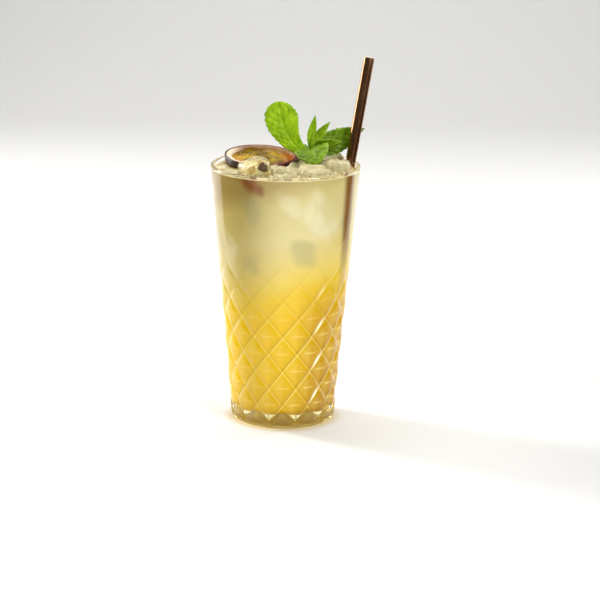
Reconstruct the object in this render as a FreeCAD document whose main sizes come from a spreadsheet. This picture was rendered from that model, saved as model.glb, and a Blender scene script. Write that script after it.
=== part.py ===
# Mango passion fruit drink in a tall pressed tumbler, with ice, half a passion fruit,
# a sprig of mint and a metal straw.
# Millimetres, +Z up, the centre of the foot's underside at the origin, front towards -Y.

import math
import os

import FreeCAD
import Part
import Sketcher

from FreeCAD import Placement, Rotation, Vector

# ---------------------------------------------------------------- named sizes
# alias, value, what it is
SIZE_ROWS = [
    ("glass_height", 150.0, "rim above the table"),
    ("rim_radius", 43.0, "outside of the rim"),
    ("foot_radius", 29.9, "outside of the wall carried down to the table"),
    ("heel_round", 4.0, "rounding between wall and foot"),
    ("lip_wall", 2.3, "wall at the rim"),
    ("foot_wall", 4.2, "wall beside the floor"),
    ("floor_height", 8.4, "thick clear foot under the drink"),
    ("floor_round", 4.5, "rounding between floor and inner wall"),
    ("lip_round", 1.0, "rounding of both lip edges"),
    ("lattice_columns", 12.0, "lozenges around the wall"),
    ("lattice_start", 3.8, "lowest crossing of the cuts"),
    ("lattice_step", 10.45, "height between rows of crossings"),
    ("lattice_depth", 1.25, "depth of the cuts at a crossing"),
    ("lattice_turn", 14.4, "degrees from the front to the first crossing"),
    ("lozenge_share", 0.62, "inner lozenge between the cuts, as a share of the whole"),
    ("lozenge_drop", 0.32, "corners of the inner lozenge below the plain wall"),
    ("drink_drop", 2.2, "drink below the rim"),
    ("film_gap", 0.05, "clearance between drink and glass"),
    ("seat_gap", 0.1, "clearance where loose pieces rest on glass"),
    ("straw_diameter", 6.0, "outside of the straw"),
    ("straw_wall", 0.5, "wall of the straw"),
    ("straw_length", 205.0, "straight metal straw"),
    ("straw_swing", 8.0, "degrees the straw's lean is turned behind +X at the rim"),
    ("straw_foot_share", 0.69, "foot of the straw, as a share of the floor radius"),
    ("straw_foot_turn", 42.0, "degrees in front of +X at the floor"),
    ("fruit_radius", 21.0, "half passion fruit across the cut"),
    ("fruit_rise", 3.0, "cut face above the rim"),
    ("fruit_nod", 6.0, "degrees the cut face leans to the front"),
    ("fruit_roll", 1.8, "degrees the cut face drops to the right"),
    ("skin_wall", 0.9, "dark skin"),
    ("pith_wall", 2.6, "pale pith"),
    ("pulp_drop", 1.1, "pulp below the cut face"),
    ("ice_edge", 15.0, "edge of a usual lump of ice"),
    ("ice_bevel", 2.2, "bevel of a lump's edges"),
    ("sprig_gap", 5.0, "between the fruit's edge and the mint's node"),
    ("stem_width", 2.6, "square mint stem across its corners"),
    ("stem_length", 26.0, "mint stem"),
    ("leaf_thickness", 0.7, "mint leaf at its midrib"),
    ("leaf_edge", 0.35, "mint leaf at its edge"),
    ("leaf_scale", 1.0, "size of the sprig's leaves"),
]

DOC = FreeCAD.newDocument("mango_passion_drink")
SHEET = DOC.addObject("Spreadsheet::Sheet", "Sizes")
for row, (alias, value, note) in enumerate(SIZE_ROWS, start=1):
    SHEET.set("A%d" % row, alias)
    SHEET.set("B%d" % row, str(value))
    SHEET.set("C%d" % row, note)
    SHEET.setAlias("B%d" % row, alias)
DOC.recompute()


def size(alias):
    """Value of a named size."""
    return float(SHEET.get(alias))


def named(obj, label):
    """Give a document object its label and return it."""
    obj.Label = label
    return obj


def bind(obj, **expressions):
    """Bind properties to expressions; a double underscore stands for a dot."""
    for key, expression in expressions.items():
        obj.setExpression(key.replace("__", "."), expression)
    return obj


# ---------------------------------------------------------------- turned bodies
def turned_body(label, corners, rounds=()):
    """Body of revolution from (radius, height) expressions, with rounded ring edges.

    rounds holds (corner index, expression of the rounding).
    """
    body = named(DOC.addObject("PartDesign::Body", label), label)
    sketch = named(body.newObject("Sketcher::SketchObject", label + "_profile"), label + "_profile")
    sketch.AttachmentSupport = [(body.Origin.OriginFeatures[4], "")]
    sketch.MapMode = "FlatFace"
    spots = [tuple(float(sketch.evalExpression(text)) for text in corner) for corner in corners]
    count = len(corners)
    for i in range(count):
        start = Vector(spots[i][0], spots[i][1], 0)
        end = Vector(spots[(i + 1) % count][0], spots[(i + 1) % count][1], 0)
        sketch.addGeometry(Part.LineSegment(start, end), False)
    for i in range(count):
        sketch.addConstraint(Sketcher.Constraint("Coincident", i, 2, (i + 1) % count, 1))
    for i, (radius, height) in enumerate(corners):
        for kind, axis, text, value in (
            ("DistanceX", -2, radius, spots[i][0]),
            ("DistanceY", -1, height, spots[i][1]),
        ):
            if text == "0":
                sketch.addConstraint(Sketcher.Constraint("PointOnObject", i, 1, axis))
            else:
                spot = sketch.addConstraint(Sketcher.Constraint(kind, -1, 1, i, 1, value))
                sketch.setExpression("Constraints[%d]" % spot, text)
    turned = named(body.newObject("PartDesign::Revolution", label + "_turned"), label + "_turned")
    turned.Profile = sketch
    turned.ReferenceAxis = (sketch, ["V_Axis"])
    turned.Angle = 360.0
    DOC.recompute()
    tip = turned
    for number, (corner, text) in enumerate(rounds):
        edge = ring_edge(tip.Shape, spots[corner][0], spots[corner][1])
        soft = body.newObject("PartDesign::Fillet", "%s_round_%d" % (label, number + 1))
        named(soft, "%s_round_%d" % (label, number + 1))
        soft.Base = (tip, [edge])
        soft.setExpression("Radius", text)
        DOC.recompute()
        tip = soft
    body.Tip = tip
    return body


def ring_edge(shape, radius, height):
    """Name of the circular edge with this radius at this height."""
    best = None
    for number, edge in enumerate(shape.Edges, start=1):
        if not isinstance(edge.Curve, Part.Circle):
            continue
        error = abs(edge.Curve.Radius - radius) + abs(edge.Curve.Center.z - height)
        if best is None or error < best[0]:
            best = (error, "Edge%d" % number)
    if best is None or best[0] > 0.01:
        raise RuntimeError("no ring edge at radius %.2f, height %.2f" % (radius, height))
    return best[1]


# ---------------------------------------------------------------- glass
def wall_radius(height):
    """Outside radius of the plain wall at a height."""
    foot = size("foot_radius")
    return foot + (size("rim_radius") - foot) * height / size("glass_height")


def polar(radius, degrees, height):
    """Point at a radius and height, turned from the front (-Y) towards +X."""
    angle = math.radians(degrees)
    return Vector(radius * math.sin(angle), -radius * math.cos(angle), height)


def cut_depth(level):
    """Depth of the lattice at a level: full below, fading out in the top rows."""
    fade = {6: 0.92, 7: 0.72, 8: 0.45, 9: 0.12}
    return size("lattice_depth") * fade.get(level, 1.0)


def closed_solid(faces, label):
    """Solid from faces that close on each other."""
    shell = Part.makeShell(faces)
    if not shell.isClosed():
        shell.sewShape()
    solid = Part.makeSolid(shell)
    if solid.Volume < 0:
        solid.reverse()
    if not solid.isValid():
        raise RuntimeError(label + " is not a valid solid")
    return solid


def facet(*corners):
    """Flat face through corners in order."""
    return Part.Face(Part.makePolygon(list(corners) + [corners[0]]))


def lattice_block():
    """Faceted block whose skin is the lattice of cuts with low pyramids between them.

    The cuts run along the edges between crossings and their flanks end at the inner
    lozenges, whose tips stay just inside the plain wall. Below the lowest row and above
    the highest, flanks rise past the plain wall, so that it stays uncut there.
    """
    columns = int(size("lattice_columns"))
    pitch = 360.0 / columns
    step = size("lattice_step")
    start = size("lattice_start")
    top = 9
    inset = 0.06

    def height(level):
        return start + step * level

    def crossing(level, degrees):
        return polar(wall_radius(height(level)) - cut_depth(level), degrees, height(level))

    def lozenge(level, at, turn, side):
        share = size("lozenge_share")
        spot = height(level) + (height(at) - height(level)) * share
        drop = inset + (size("lozenge_drop") - inset) * cut_depth(at) / size("lattice_depth")
        return polar(wall_radius(spot) - drop, turn + side * share, spot)

    faces = []
    foot_ring = []
    crown_ring = []
    for column in range(columns):
        for level in range(1, top):
            turn = size("lattice_turn") + pitch * (column + (0.5 if level % 2 == 0 else 0.0))
            tip = polar(wall_radius(height(level)) - inset, turn, height(level))
            corners = [(level, -0.5), (level - 1, 0.0), (level, 0.5), (level + 1, 0.0)]
            outer = [crossing(at, turn + pitch * side) for at, side in corners]
            inner = [lozenge(level, at, turn, pitch * side) for at, side in corners]
            for i in range(4):
                j = (i + 1) % 4
                faces.append(facet(outer[i], outer[j], inner[j]))
                faces.append(facet(outer[i], inner[j], inner[i]))
                faces.append(facet(inner[i], inner[j], tip))
        turn = size("lattice_turn") + pitch * (column + 0.5)
        left = crossing(0, turn - pitch / 2)
        peak = crossing(1, turn)
        right = crossing(0, turn + pitch / 2)
        low = polar(wall_radius(0) + 7.0, turn, -3.0)
        low_next = polar(wall_radius(0) + 7.0, turn + pitch, -3.0)
        faces.append(facet(peak, left, low))
        faces.append(facet(right, peak, low))
        faces.append(facet(right, low, low_next))
        foot_ring.append(low)
        turn = size("lattice_turn") + pitch * (column + (0.0 if top % 2 else 0.5))
        left = crossing(top, turn - pitch / 2)
        dip = crossing(top - 1, turn)
        right = crossing(top, turn + pitch / 2)
        high_z = height(top) + 8.0
        high = polar(wall_radius(high_z) + 8.0, turn, high_z)
        high_next = polar(wall_radius(high_z) + 8.0, turn + pitch, high_z)
        faces.append(facet(left, dip, high))
        faces.append(facet(dip, right, high))
        faces.append(facet(right, high_next, high))
        roof_z = size("glass_height") + 5.0
        roof = polar(wall_radius(roof_z) + 16.0, turn, roof_z)
        roof_next = polar(wall_radius(roof_z) + 16.0, turn + pitch, roof_z)
        faces.append(facet(high, high_next, roof_next, roof))
        crown_ring.append(roof)
    faces.append(facet(*reversed(foot_ring)))
    faces.append(facet(*crown_ring))
    return closed_solid(faces, "lattice")


def make_glass():
    """Tumbler: turned outside, lattice taken off it, turned hollow, rounded lip."""
    outside = turned_body(
        "glass_outside",
        [
            ("0", "0"),
            ("Sizes.foot_radius", "0"),
            ("Sizes.rim_radius", "Sizes.glass_height"),
            ("0", "Sizes.glass_height"),
        ],
        [(1, "Sizes.heel_round")],
    )
    hollow = turned_body(
        "glass_hollow",
        [
            ("0", "Sizes.floor_height"),
            (inner_radius_text("Sizes.floor_height"), "Sizes.floor_height"),
            (inner_radius_text("(Sizes.glass_height + 10)"), "Sizes.glass_height + 10"),
            ("0", "Sizes.glass_height + 10"),
        ],
        [(1, "Sizes.floor_round")],
    )
    lattice = named(DOC.addObject("Part::Feature", "glass_lattice"), "glass_lattice")
    lattice.Shape = lattice_block()
    pressed = named(DOC.addObject("Part::MultiCommon", "glass_pressed"), "glass_pressed")
    pressed.Shapes = [outside, lattice]
    hollowed = named(DOC.addObject("Part::Cut", "glass_hollowed"), "glass_hollowed")
    hollowed.Base = pressed
    hollowed.Tool = hollow
    DOC.recompute()
    glass = named(DOC.addObject("Part::Fillet", "glass"), "glass")
    glass.Base = hollowed
    lip = size("lip_round")
    rim = size("rim_radius")
    edges = []
    for radius in (rim, rim - size("lip_wall")):
        name = ring_edge(hollowed.Shape, radius, size("glass_height"))
        edges.append((int(name[4:]), lip, lip))
    glass.Edges = edges
    return glass


def inner_radius_text(height_text, extra="0"):
    """Expression for the inner wall's radius at a height, less an extra clearance."""
    foot = "(Sizes.foot_radius - Sizes.foot_wall)"
    rim = "(Sizes.rim_radius - Sizes.lip_wall)"
    return "%s + (%s - %s) * %s / Sizes.glass_height - %s" % (foot, rim, foot, height_text, extra)


def inner_radius(height):
    """Inner wall's radius at a height."""
    foot = size("foot_radius") - size("foot_wall")
    rim = size("rim_radius") - size("lip_wall")
    return foot + (rim - foot) * height / size("glass_height")


# ---------------------------------------------------------------- straw
def straw_axis():
    """Foot centre and unit direction of the straw: foot on the floor, leaning on the lip."""
    reach = size("straw_diameter") / 2 + size("seat_gap")
    rim_z = size("glass_height") - size("lip_round")
    lean = 1.03
    rim = inner_radius(rim_z) - reach * lean
    swing = math.radians(size("straw_swing"))
    contact = Vector(rim * math.cos(swing), rim * math.sin(swing), rim_z)
    floor_z = size("floor_height") + size("seat_gap")
    share = inner_radius(floor_z) * size("straw_foot_share")
    turn = math.radians(size("straw_foot_turn"))
    foot = Vector(share * math.cos(turn), -share * math.sin(turn), floor_z)
    along = (contact - foot).normalize()
    lift = reach * math.sqrt(1 - along.z ** 2)
    return foot + Vector(0, 0, lift), along


def make_straw():
    """Tube standing on the floor and leaning on the lip, and the room it takes in the drink."""
    foot, along = straw_axis()
    turn = Rotation(Vector(0, 0, 1), along)
    half = "Sizes.straw_diameter / 2"
    rods = []
    for label, radius, height, back in (
        ("straw_outside", half, "Sizes.straw_length", 0.0),
        ("straw_bore", half + " - Sizes.straw_wall", "Sizes.straw_length + 2", 1.0),
        ("straw_room", half + " + Sizes.film_gap", "Sizes.straw_length + 10", 6.0),
    ):
        rod = named(DOC.addObject("Part::Cylinder", label), label)
        bind(rod, Radius=radius, Height=height)
        rod.Placement = Placement(foot - along * back, turn)
        rods.append(rod)
    straw = named(DOC.addObject("Part::Cut", "straw"), "straw")
    straw.Base = rods[0]
    straw.Tool = rods[1]
    return straw, rods[2]


# ---------------------------------------------------------------- passion fruit
def fruit_seat():
    """Placement of the fruit's cut face, just inside the inner wall at the back left."""
    room = inner_radius(size("glass_height")) - size("fruit_radius") - 1.0
    spot = polar(room, 180.0 + 50.0, size("glass_height") + size("fruit_rise"))
    turn = Rotation(Vector(1, 0, 0), size("fruit_nod")).multiply(
        Rotation(Vector(0, 1, 0), size("fruit_roll"))
    )
    return Placement(spot, turn)


def half_bowl(label, radius_text, shift_text="0"):
    """Lower half of a ball with its cut face on z = 0."""
    ball = named(DOC.addObject("Part::Sphere", label), label)
    bind(ball, Radius=radius_text)
    ball.Angle1 = -90.0
    ball.Angle2 = 0.0
    ball.Angle3 = 360.0
    bind(ball, Placement__Base__x=shift_text)
    return ball


def make_fruit():
    """Skin, pith and pulp of half a passion fruit, and the room it takes in the drink."""
    seat = fruit_seat()
    outside = half_bowl("fruit_outside", "Sizes.fruit_radius")
    inside = half_bowl("fruit_inside", "Sizes.fruit_radius - Sizes.skin_wall")
    hollow = half_bowl(
        "fruit_hollow",
        "Sizes.fruit_radius - Sizes.skin_wall - Sizes.pith_wall",
        "Sizes.pith_wall * 0.35",
    )
    filling = half_bowl(
        "fruit_filling",
        "Sizes.fruit_radius - Sizes.skin_wall - Sizes.pith_wall - Sizes.film_gap",
        "Sizes.pith_wall * 0.35",
    )
    lid = named(DOC.addObject("Part::Box", "fruit_lid"), "fruit_lid")
    bind(
        lid,
        Length="3 * Sizes.fruit_radius",
        Width="3 * Sizes.fruit_radius",
        Height="Sizes.fruit_radius",
        Placement__Base__x="-1.5 * Sizes.fruit_radius",
        Placement__Base__y="-1.5 * Sizes.fruit_radius",
        Placement__Base__z="-Sizes.pulp_drop",
    )
    parts = []
    for label, base, tool in (
        ("fruit_skin", outside, inside),
        ("fruit_pith", inside, hollow),
        ("fruit_pulp", filling, lid),
    ):
        cut = named(DOC.addObject("Part::Cut", label), label)
        cut.Base = base
        cut.Tool = tool
        cut.Placement = seat
        parts.append(cut)
    room = named(DOC.addObject("Part::Sphere", "fruit_room"), "fruit_room")
    bind(room, Radius="Sizes.fruit_radius + Sizes.film_gap")
    room.Placement = Placement(seat.Base, Rotation(Vector(1, 0, 0), 90))
    return parts, room


# ---------------------------------------------------------------- ice
# x, y and top as offsets: place in the rim as shares of the inner radius, top above the
# drink in mm, size as shares of ice_edge, then turn, nod and roll in degrees
ICE_LUMPS = [
    (-0.42, -0.60, 10.4, (1.10, 0.92, 1.15), 24.0, 10.0, -12.0),
    (-0.02, -0.70, 6.4, (0.82, 0.72, 0.95), -8.0, -6.0, 14.0),
    (0.36, -0.66, 7.4, (1.05, 0.80, 1.00), 15.0, 8.0, 6.0),
    (0.68, -0.34, 8.6, (1.00, 0.95, 1.10), 52.0, -9.0, 10.0),
    (0.62, 0.44, 7.2, (1.05, 1.00, 1.05), 30.0, 7.0, -9.0),
    (0.26, 0.72, 4.8, (1.00, 0.90, 0.95), -20.0, -8.0, 8.0),
    (0.20, -0.24, 3.4, (0.75, 0.70, 0.80), 40.0, 5.0, -6.0),
    (-0.76, -0.36, 1.6, (0.62, 0.60, 0.70), 10.0, 12.0, 9.0),
    (-0.10, -0.37, 2.8, (0.58, 0.56, 0.72), 20.0, -9.0, 12.0),
    (0.50, -0.01, 4.0, (0.60, 0.56, 0.74), -15.0, 10.0, 8.0),
    (0.10, 0.88, 2.0, (0.56, 0.44, 0.60), 6.0, 8.0, -10.0),
]


def make_ice(blockers):
    """Bevelled lumps standing out of the drink, kept off the glass and off each other."""
    room = turned_body(
        "ice_room",
        [
            ("0", "Sizes.floor_height + 1"),
            (inner_radius_text("(Sizes.floor_height + 1)", "Sizes.seat_gap"), "Sizes.floor_height + 1"),
            (inner_radius_text("(Sizes.glass_height + 30)", "Sizes.seat_gap"), "Sizes.glass_height + 30"),
            ("0", "Sizes.glass_height + 30"),
        ],
    )
    level = size("glass_height") - size("drink_drop")
    radius = inner_radius(level)
    lumps = []
    for number, (x, y, rise, shares, turn, nod, roll) in enumerate(ICE_LUMPS, start=1):
        label = "ice_lump_%d" % number
        block = named(DOC.addObject("Part::Box", label + "_block"), label + "_block")
        for prop, share in zip(("Length", "Width", "Height"), shares):
            bind(block, **{prop: "Sizes.ice_edge * %.3f" % share})
        DOC.recompute()
        bevel = named(DOC.addObject("Part::Chamfer", label + "_bevel"), label + "_bevel")
        bevel.Base = block
        cut = size("ice_bevel") * min(shares)
        bevel.Edges = [(i, cut * (0.75 + 0.5 * ((i * 7 + number) % 4) / 3.0), cut) for i in range(1, 13)]
        spin = Rotation(Vector(0, 0, 1), turn).multiply(
            Rotation(Vector(1, 0, 0), nod).multiply(Rotation(Vector(0, 1, 0), roll))
        )
        half = Vector(*[size("ice_edge") * share / 2 for share in shares])
        top = level + rise
        middle = Vector(x * radius, y * radius, top - half.z * 1.12)
        bevel.Placement = Placement(middle - spin.multVec(half), spin)
        lump = named(DOC.addObject("Part::MultiCommon", label + "_kept"), label + "_kept")
        lump.Shapes = [room, bevel]
        for i, blocker in enumerate(blockers + lumps):
            DOC.recompute()
            near = blocker.Shape.distToShape(bevel.Shape)[0]
            if near > size("seat_gap"):
                continue
            trimmed = named(DOC.addObject("Part::Cut", "%s_trim_%d" % (label, i)), "%s_trim_%d" % (label, i))
            trimmed.Base = lump
            trimmed.Tool = blocker
            lump = trimmed
        lump.Label = label
        lumps.append(lump)
    return lumps


# ---------------------------------------------------------------- mint
# share of length -> share of the half width
ROUND_LEAF = [
    (0.0, 0.16), (0.12, 0.34), (0.25, 0.48), (0.40, 0.64), (0.55, 0.82), (0.68, 0.96), (0.78, 1.0), (0.87, 0.90),
    (0.94, 0.68), (1.0, 0.26),
]
BROAD_LEAF = [
    (0.0, 0.26), (0.10, 0.60), (0.25, 0.90), (0.42, 1.0), (0.60, 0.97), (0.78, 0.82), (0.90, 0.56), (1.0, 0.16),
]
POINTED_LEAF = [
    (0.0, 0.16), (0.12, 0.50), (0.28, 0.88), (0.42, 1.0), (0.60, 0.90), (0.80, 0.56), (0.93, 0.22), (1.0, 0.06),
]

# label, outline, teeth, half width, fold in degrees, midrib points from the sprig's node,
# and the direction across the leaf
LEAVES = [
    ("tall", ROUND_LEAF, 10, 9.9, 10.0,
     [(-1.0, 0.6, -0.4), (-10.0, 2.0, 2.8), (-15.6, 5.0, 13.4), (-17.0, 3.0, 28.5)], (0.90, -0.12, 0.35)),
    ("bud_left", POINTED_LEAF, 6, 2.9, 26.0,
     [(1.3, 0.6, 0.8), (1.6, 2.4, 7.0), (2.6, 4.0, 14.0), (4.0, 3.2, 20.8)], (0.96, -0.25, -0.10)),
    ("bud_right", POINTED_LEAF, 6, 3.0, 24.0,
     [(1.9, -0.3, 0.4), (4.2, -0.2, 7.0), (8.0, 0.2, 13.0), (12.4, -0.4, 17.6)], (0.86, -0.25, -0.44)),
    ("front", BROAD_LEAF, 8, 10.2, 15.0,
     [(0.6, -1.7, 0.0), (1.4, -8.5, 4.6), (3.0, -16.0, 3.2), (4.2, -22.6, -3.0)], (0.95, 0.10, 0.28)),
    ("side", POINTED_LEAF, 7, 6.6, 18.0,
     [(1.9, -1.0, -0.6), (7.5, -5.0, 2.6), (12.5, -7.0, 5.0), (18.6, -8.0, 7.6)], (-0.22, -0.62, 0.75)),
    ("right", POINTED_LEAF, 9, 7.4, 14.0,
     [(2.0, 1.2, -0.4), (11.0, 6.0, 2.8), (21.0, 10.0, 7.6), (32.4, 11.5, 12.0)], (-0.34, 0.10, 0.93)),
    ("back", POINTED_LEAF, 8, 8.0, 16.0,
     [(0.0, 1.8, -0.6), (0.6, 9.0, 1.8), (0.0, 17.0, 0.6), (-1.0, 24.0, -1.8)], (-0.97, 0.0, 0.10)),
]


def sprig_node():
    """Point on the stem from which the leaves spring: right of the axis and clear of the fruit."""
    across = 0.09 * size("rim_radius")
    fruit = fruit_seat().Base
    reach = size("fruit_radius") + size("sprig_gap")
    beside = fruit.x + math.sqrt(reach ** 2 - (fruit.y - across) ** 2)
    return Vector(max(0.33 * size("rim_radius") - 1.4, beside), across, size("glass_height") + 6.4)


def lerp_table(table, share):
    """Value from a table of (share, value) pairs, straight between its rows."""
    for (a, low), (b, high) in zip(table, table[1:]):
        if share <= b:
            return low + (high - low) * (share - a) / (b - a)
    return table[-1][1]


def bezier(points, share):
    """Point and direction on a cubic curve through four control points."""
    a, b, c, d = points
    s = 1.0 - share
    spot = a * s ** 3 + b * (3 * s * s * share) + c * (3 * s * share ** 2) + d * share ** 3
    way = (b - a) * (s * s) + (c - b) * (2 * s * share) + (d - c) * (share ** 2)
    return spot, way.normalize()


def leaf_solid(outline, teeth, half_width, fold, points, across):
    """Toothed leaf: thin curved cross-sections joined along the midrib."""
    scale = size("leaf_scale")
    rib = [Vector(*point) * scale for point in points]
    lay = Vector(*across)
    middle = size("leaf_thickness") / 2
    edge = size("leaf_edge") / 2
    lift = math.radians(fold)
    stations = [(0.0, 1.0)]
    for tooth in range(teeth):
        start = 0.10 + 0.86 * tooth / teeth
        stations.append((start, 0.93))
        stations.append((start + 0.62 * 0.86 / teeth, 1.06))
    stations.append((0.965, 0.95))
    stations.append((1.0, 1.0))
    wires = []
    for share, tooth in stations:
        spot, way = bezier(rib, share)
        side = (lay - way * lay.dot(way)).normalize()
        normal = way.cross(side)
        if normal.dot(Vector(0, -0.6, 0.8)) < 0:
            normal = normal * -1.0
        width = max(lerp_table(outline, share) * half_width * tooth * scale, 0.35)
        tops = []
        unders = []
        for step in (-1.0, -0.55, 0.0, 0.55, 1.0):
            out = width * step
            rise = abs(out) * math.sin(lift) * (1.0 - 0.35 * abs(step))
            thick = edge + (middle - edge) * (1.0 - abs(step))
            centre = spot + side * (out * math.cos(lift)) + normal * rise
            tops.append(centre + normal * thick)
            unders.append(centre - normal * thick)
        over = Part.BSplineCurve()
        over.interpolate(tops)
        under = Part.BSplineCurve()
        under.interpolate(list(reversed(unders)))
        wires.append(Part.Wire([
            over.toShape(),
            Part.makeLine(tops[-1], unders[-1]),
            under.toShape(),
            Part.makeLine(unders[0], tops[0]),
        ]))
    return Part.makeLoft(wires, True, True)


def make_mint():
    """Square stem and toothed leaves, joined into one sprig."""
    node = sprig_node()
    stem = named(DOC.addObject("Part::Prism", "mint_stem"), "mint_stem")
    stem.Polygon = 4
    bind(stem, Circumradius="Sizes.stem_width / 2", Height="Sizes.stem_length")
    lean = Rotation(Vector(0, 0, 1), Vector(0.06, 0.05, 1.0))
    low = node - lean.multVec(Vector(0, 0, size("stem_length") - 1.6))
    stem.Placement = Placement(low, lean.multiply(Rotation(Vector(0, 0, 1), 20.0)))
    heart = named(DOC.addObject("Part::Sphere", "mint_heart"), "mint_heart")
    bind(heart, Radius="Sizes.stem_width * 0.9")
    heart.Placement = Placement(node, Rotation())
    pieces = [stem, heart]
    for label, outline, teeth, half_width, fold, points, across in LEAVES:
        leaf = named(DOC.addObject("Part::Feature", "mint_leaf_" + label), "mint_leaf_" + label)
        leaf.Shape = leaf_solid(outline, teeth, half_width, fold, points, across)
        leaf.Placement = Placement(node, Rotation())
        pieces.append(leaf)
    sprig = named(DOC.addObject("Part::MultiFuse", "mint_sprig"), "mint_sprig")
    sprig.Shapes = pieces
    return sprig, stem


# ---------------------------------------------------------------- drink
def make_drink(tools):
    """Drink up to its level, cut round everything that stands in it."""
    level = "(Sizes.glass_height - Sizes.drink_drop)"
    floor = "(Sizes.floor_height + Sizes.film_gap)"
    fill = turned_body(
        "drink_fill",
        [
            ("0", floor),
            (inner_radius_text(floor, "Sizes.film_gap"), floor),
            (inner_radius_text(level, "Sizes.film_gap"), level),
            ("0", level),
        ],
        [(1, "Sizes.floor_round")],
    )
    drink = fill
    for number, tool in enumerate(tools):
        cut = named(DOC.addObject("Part::Cut", "drink_cut_%d" % number), "drink_cut_%d" % number)
        cut.Base = drink
        cut.Tool = tool
        drink = cut
    return drink


# ---------------------------------------------------------------- the whole drink
def main():
    """Build every node, check it and write its solid."""
    glass = make_glass()
    DOC.recompute()
    straw, straw_outside = make_straw()
    fruit_parts, fruit_body = make_fruit()
    sprig, stem = make_mint()
    DOC.recompute()
    ice = make_ice([fruit_body, straw_outside, sprig])
    DOC.recompute()
    drink = make_drink([straw_outside, fruit_body, stem] + ice)
    DOC.recompute()
    nodes = {"glass": glass, "straw": straw, "drink": drink}
    nodes.update({part.Label: part for part in fruit_parts})
    nodes.update({"ice_lump_%d" % (i + 1): lump for i, lump in enumerate(ice)})
    nodes["mint_sprig"] = sprig
    for obj in DOC.Objects:
        if "Invalid" in obj.State or "Error" in obj.State:
            raise RuntimeError("%s: %s" % (obj.Name, obj.State))
    os.makedirs("parts", exist_ok=True)
    for name, obj in nodes.items():
        shape = obj.Shape
        if len(shape.Solids) != 1 or not shape.isValid():
            raise RuntimeError("%s is not one sound solid" % name)
        shape.exportStep("parts/%s.step" % name)


main()
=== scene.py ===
"""Dressing of an iced mango and passion fruit drink in its pressed tumbler.

Every shape is a surface worked out with numpy on a grid of two parameters, or a profile
carried along a path. Lengths are in metres, +Z is up and the front is towards -Y.
"""

import logging
import math
from dataclasses import dataclass
from enum import Enum
from typing import Any, Optional, Sequence

import bpy
import numpy as np
from mathutils import Matrix, Vector

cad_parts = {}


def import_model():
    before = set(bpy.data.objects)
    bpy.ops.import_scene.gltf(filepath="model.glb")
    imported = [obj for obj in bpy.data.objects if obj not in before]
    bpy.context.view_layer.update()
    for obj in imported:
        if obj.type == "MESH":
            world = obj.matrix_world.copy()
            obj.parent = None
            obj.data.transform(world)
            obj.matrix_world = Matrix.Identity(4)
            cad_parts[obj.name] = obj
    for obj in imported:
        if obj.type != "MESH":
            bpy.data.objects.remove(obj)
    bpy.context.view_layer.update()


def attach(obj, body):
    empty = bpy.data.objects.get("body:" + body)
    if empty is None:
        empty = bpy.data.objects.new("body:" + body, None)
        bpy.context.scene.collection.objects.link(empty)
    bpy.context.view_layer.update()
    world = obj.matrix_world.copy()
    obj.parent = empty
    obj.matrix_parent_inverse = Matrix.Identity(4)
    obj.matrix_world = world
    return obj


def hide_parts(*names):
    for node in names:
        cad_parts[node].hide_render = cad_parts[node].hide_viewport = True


LOG = logging.getLogger("iced_drink")
MM = 0.001


# ------------------------------------------------------------------ colour and nodes
def linear(hex_colour: str) -> tuple[float, float, float, float]:
    """Turn an sRGB "#RRGGBB" colour into the linear RGBA colour that shaders take.

    Args:
        hex_colour: "#RRGGBB".

    Returns:
        Red, green, blue and alpha, linear.
    """
    parts = [int(hex_colour[i : i + 2], 16) / 255.0 for i in (1, 3, 5)]
    lin = [p / 12.92 if p <= 0.04045 else ((p + 0.055) / 1.055) ** 2.4 for p in parts]
    return (lin[0], lin[1], lin[2], 1.0)


def add_node(tree: bpy.types.NodeTree, kind: str, sockets: Optional[dict] = None, **settings: Any) -> bpy.types.Node:
    """Add one node with its settings, socket values and links.

    Args:
        tree: The material's node tree.
        kind: Node type without the ShaderNode prefix.
        sockets: Input name or number to a value, a hex colour, or a Value to link.
        **settings: Attributes of the node.

    Returns:
        The new node.
    """
    node = tree.nodes.new("ShaderNode" + kind)
    for key, value in settings.items():
        setattr(node, key, value)
    for key, value in (sockets or {}).items():
        if isinstance(value, Value):
            tree.links.new(value.socket, node.inputs[key])
        elif isinstance(value, str):
            node.inputs[key].default_value = linear(value)
        else:
            node.inputs[key].default_value = value
    return node


class Value:
    """Output of a shader node. Sums on it add Math nodes to its tree."""

    def __init__(self, socket: bpy.types.NodeSocket) -> None:
        """Keep the output socket."""
        self.socket = socket

    def math(self, operation: str, second: Any = 0.0, third: Any = 0.0) -> "Value":
        """Result of a Math operation with this value as its first input."""
        sockets = {0: self, 1: second, 2: third}
        return Value(add_node(self.socket.id_data, "Math", sockets, operation=operation).outputs[0])

    def __add__(self, other: Any) -> "Value":
        """This value plus another."""
        return self.math("ADD", other)

    def __sub__(self, other: Any) -> "Value":
        """This value less another."""
        return self.math("SUBTRACT", other)

    def __mul__(self, other: Any) -> "Value":
        """This value times another."""
        return self.math("MULTIPLY", other)

    def span(self, low: float, high: float, start: float, end: float) -> "Value":
        """Run from start at low to end at high, and stay level beyond them."""
        sockets = {"Value": self, "From Min": low, "From Max": high, "To Min": start, "To Max": end}
        return Value(add_node(self.socket.id_data, "MapRange", sockets).outputs[0])

    def ramp(self, *stops: tuple[float, str]) -> "Value":
        """Colour along a ramp.

        Args:
            *stops: (place, hex colour) in rising order.

        Returns:
            The ramp's colour.
        """
        node = add_node(self.socket.id_data, "ValToRGB", {"Fac": self})
        band = node.color_ramp
        while len(band.elements) < len(stops):
            band.elements.new(1.0)
        for element, (place, colour) in zip(band.elements, stops):
            element.position = place
            element.color = linear(colour)
        return Value(node.outputs["Color"])


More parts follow.
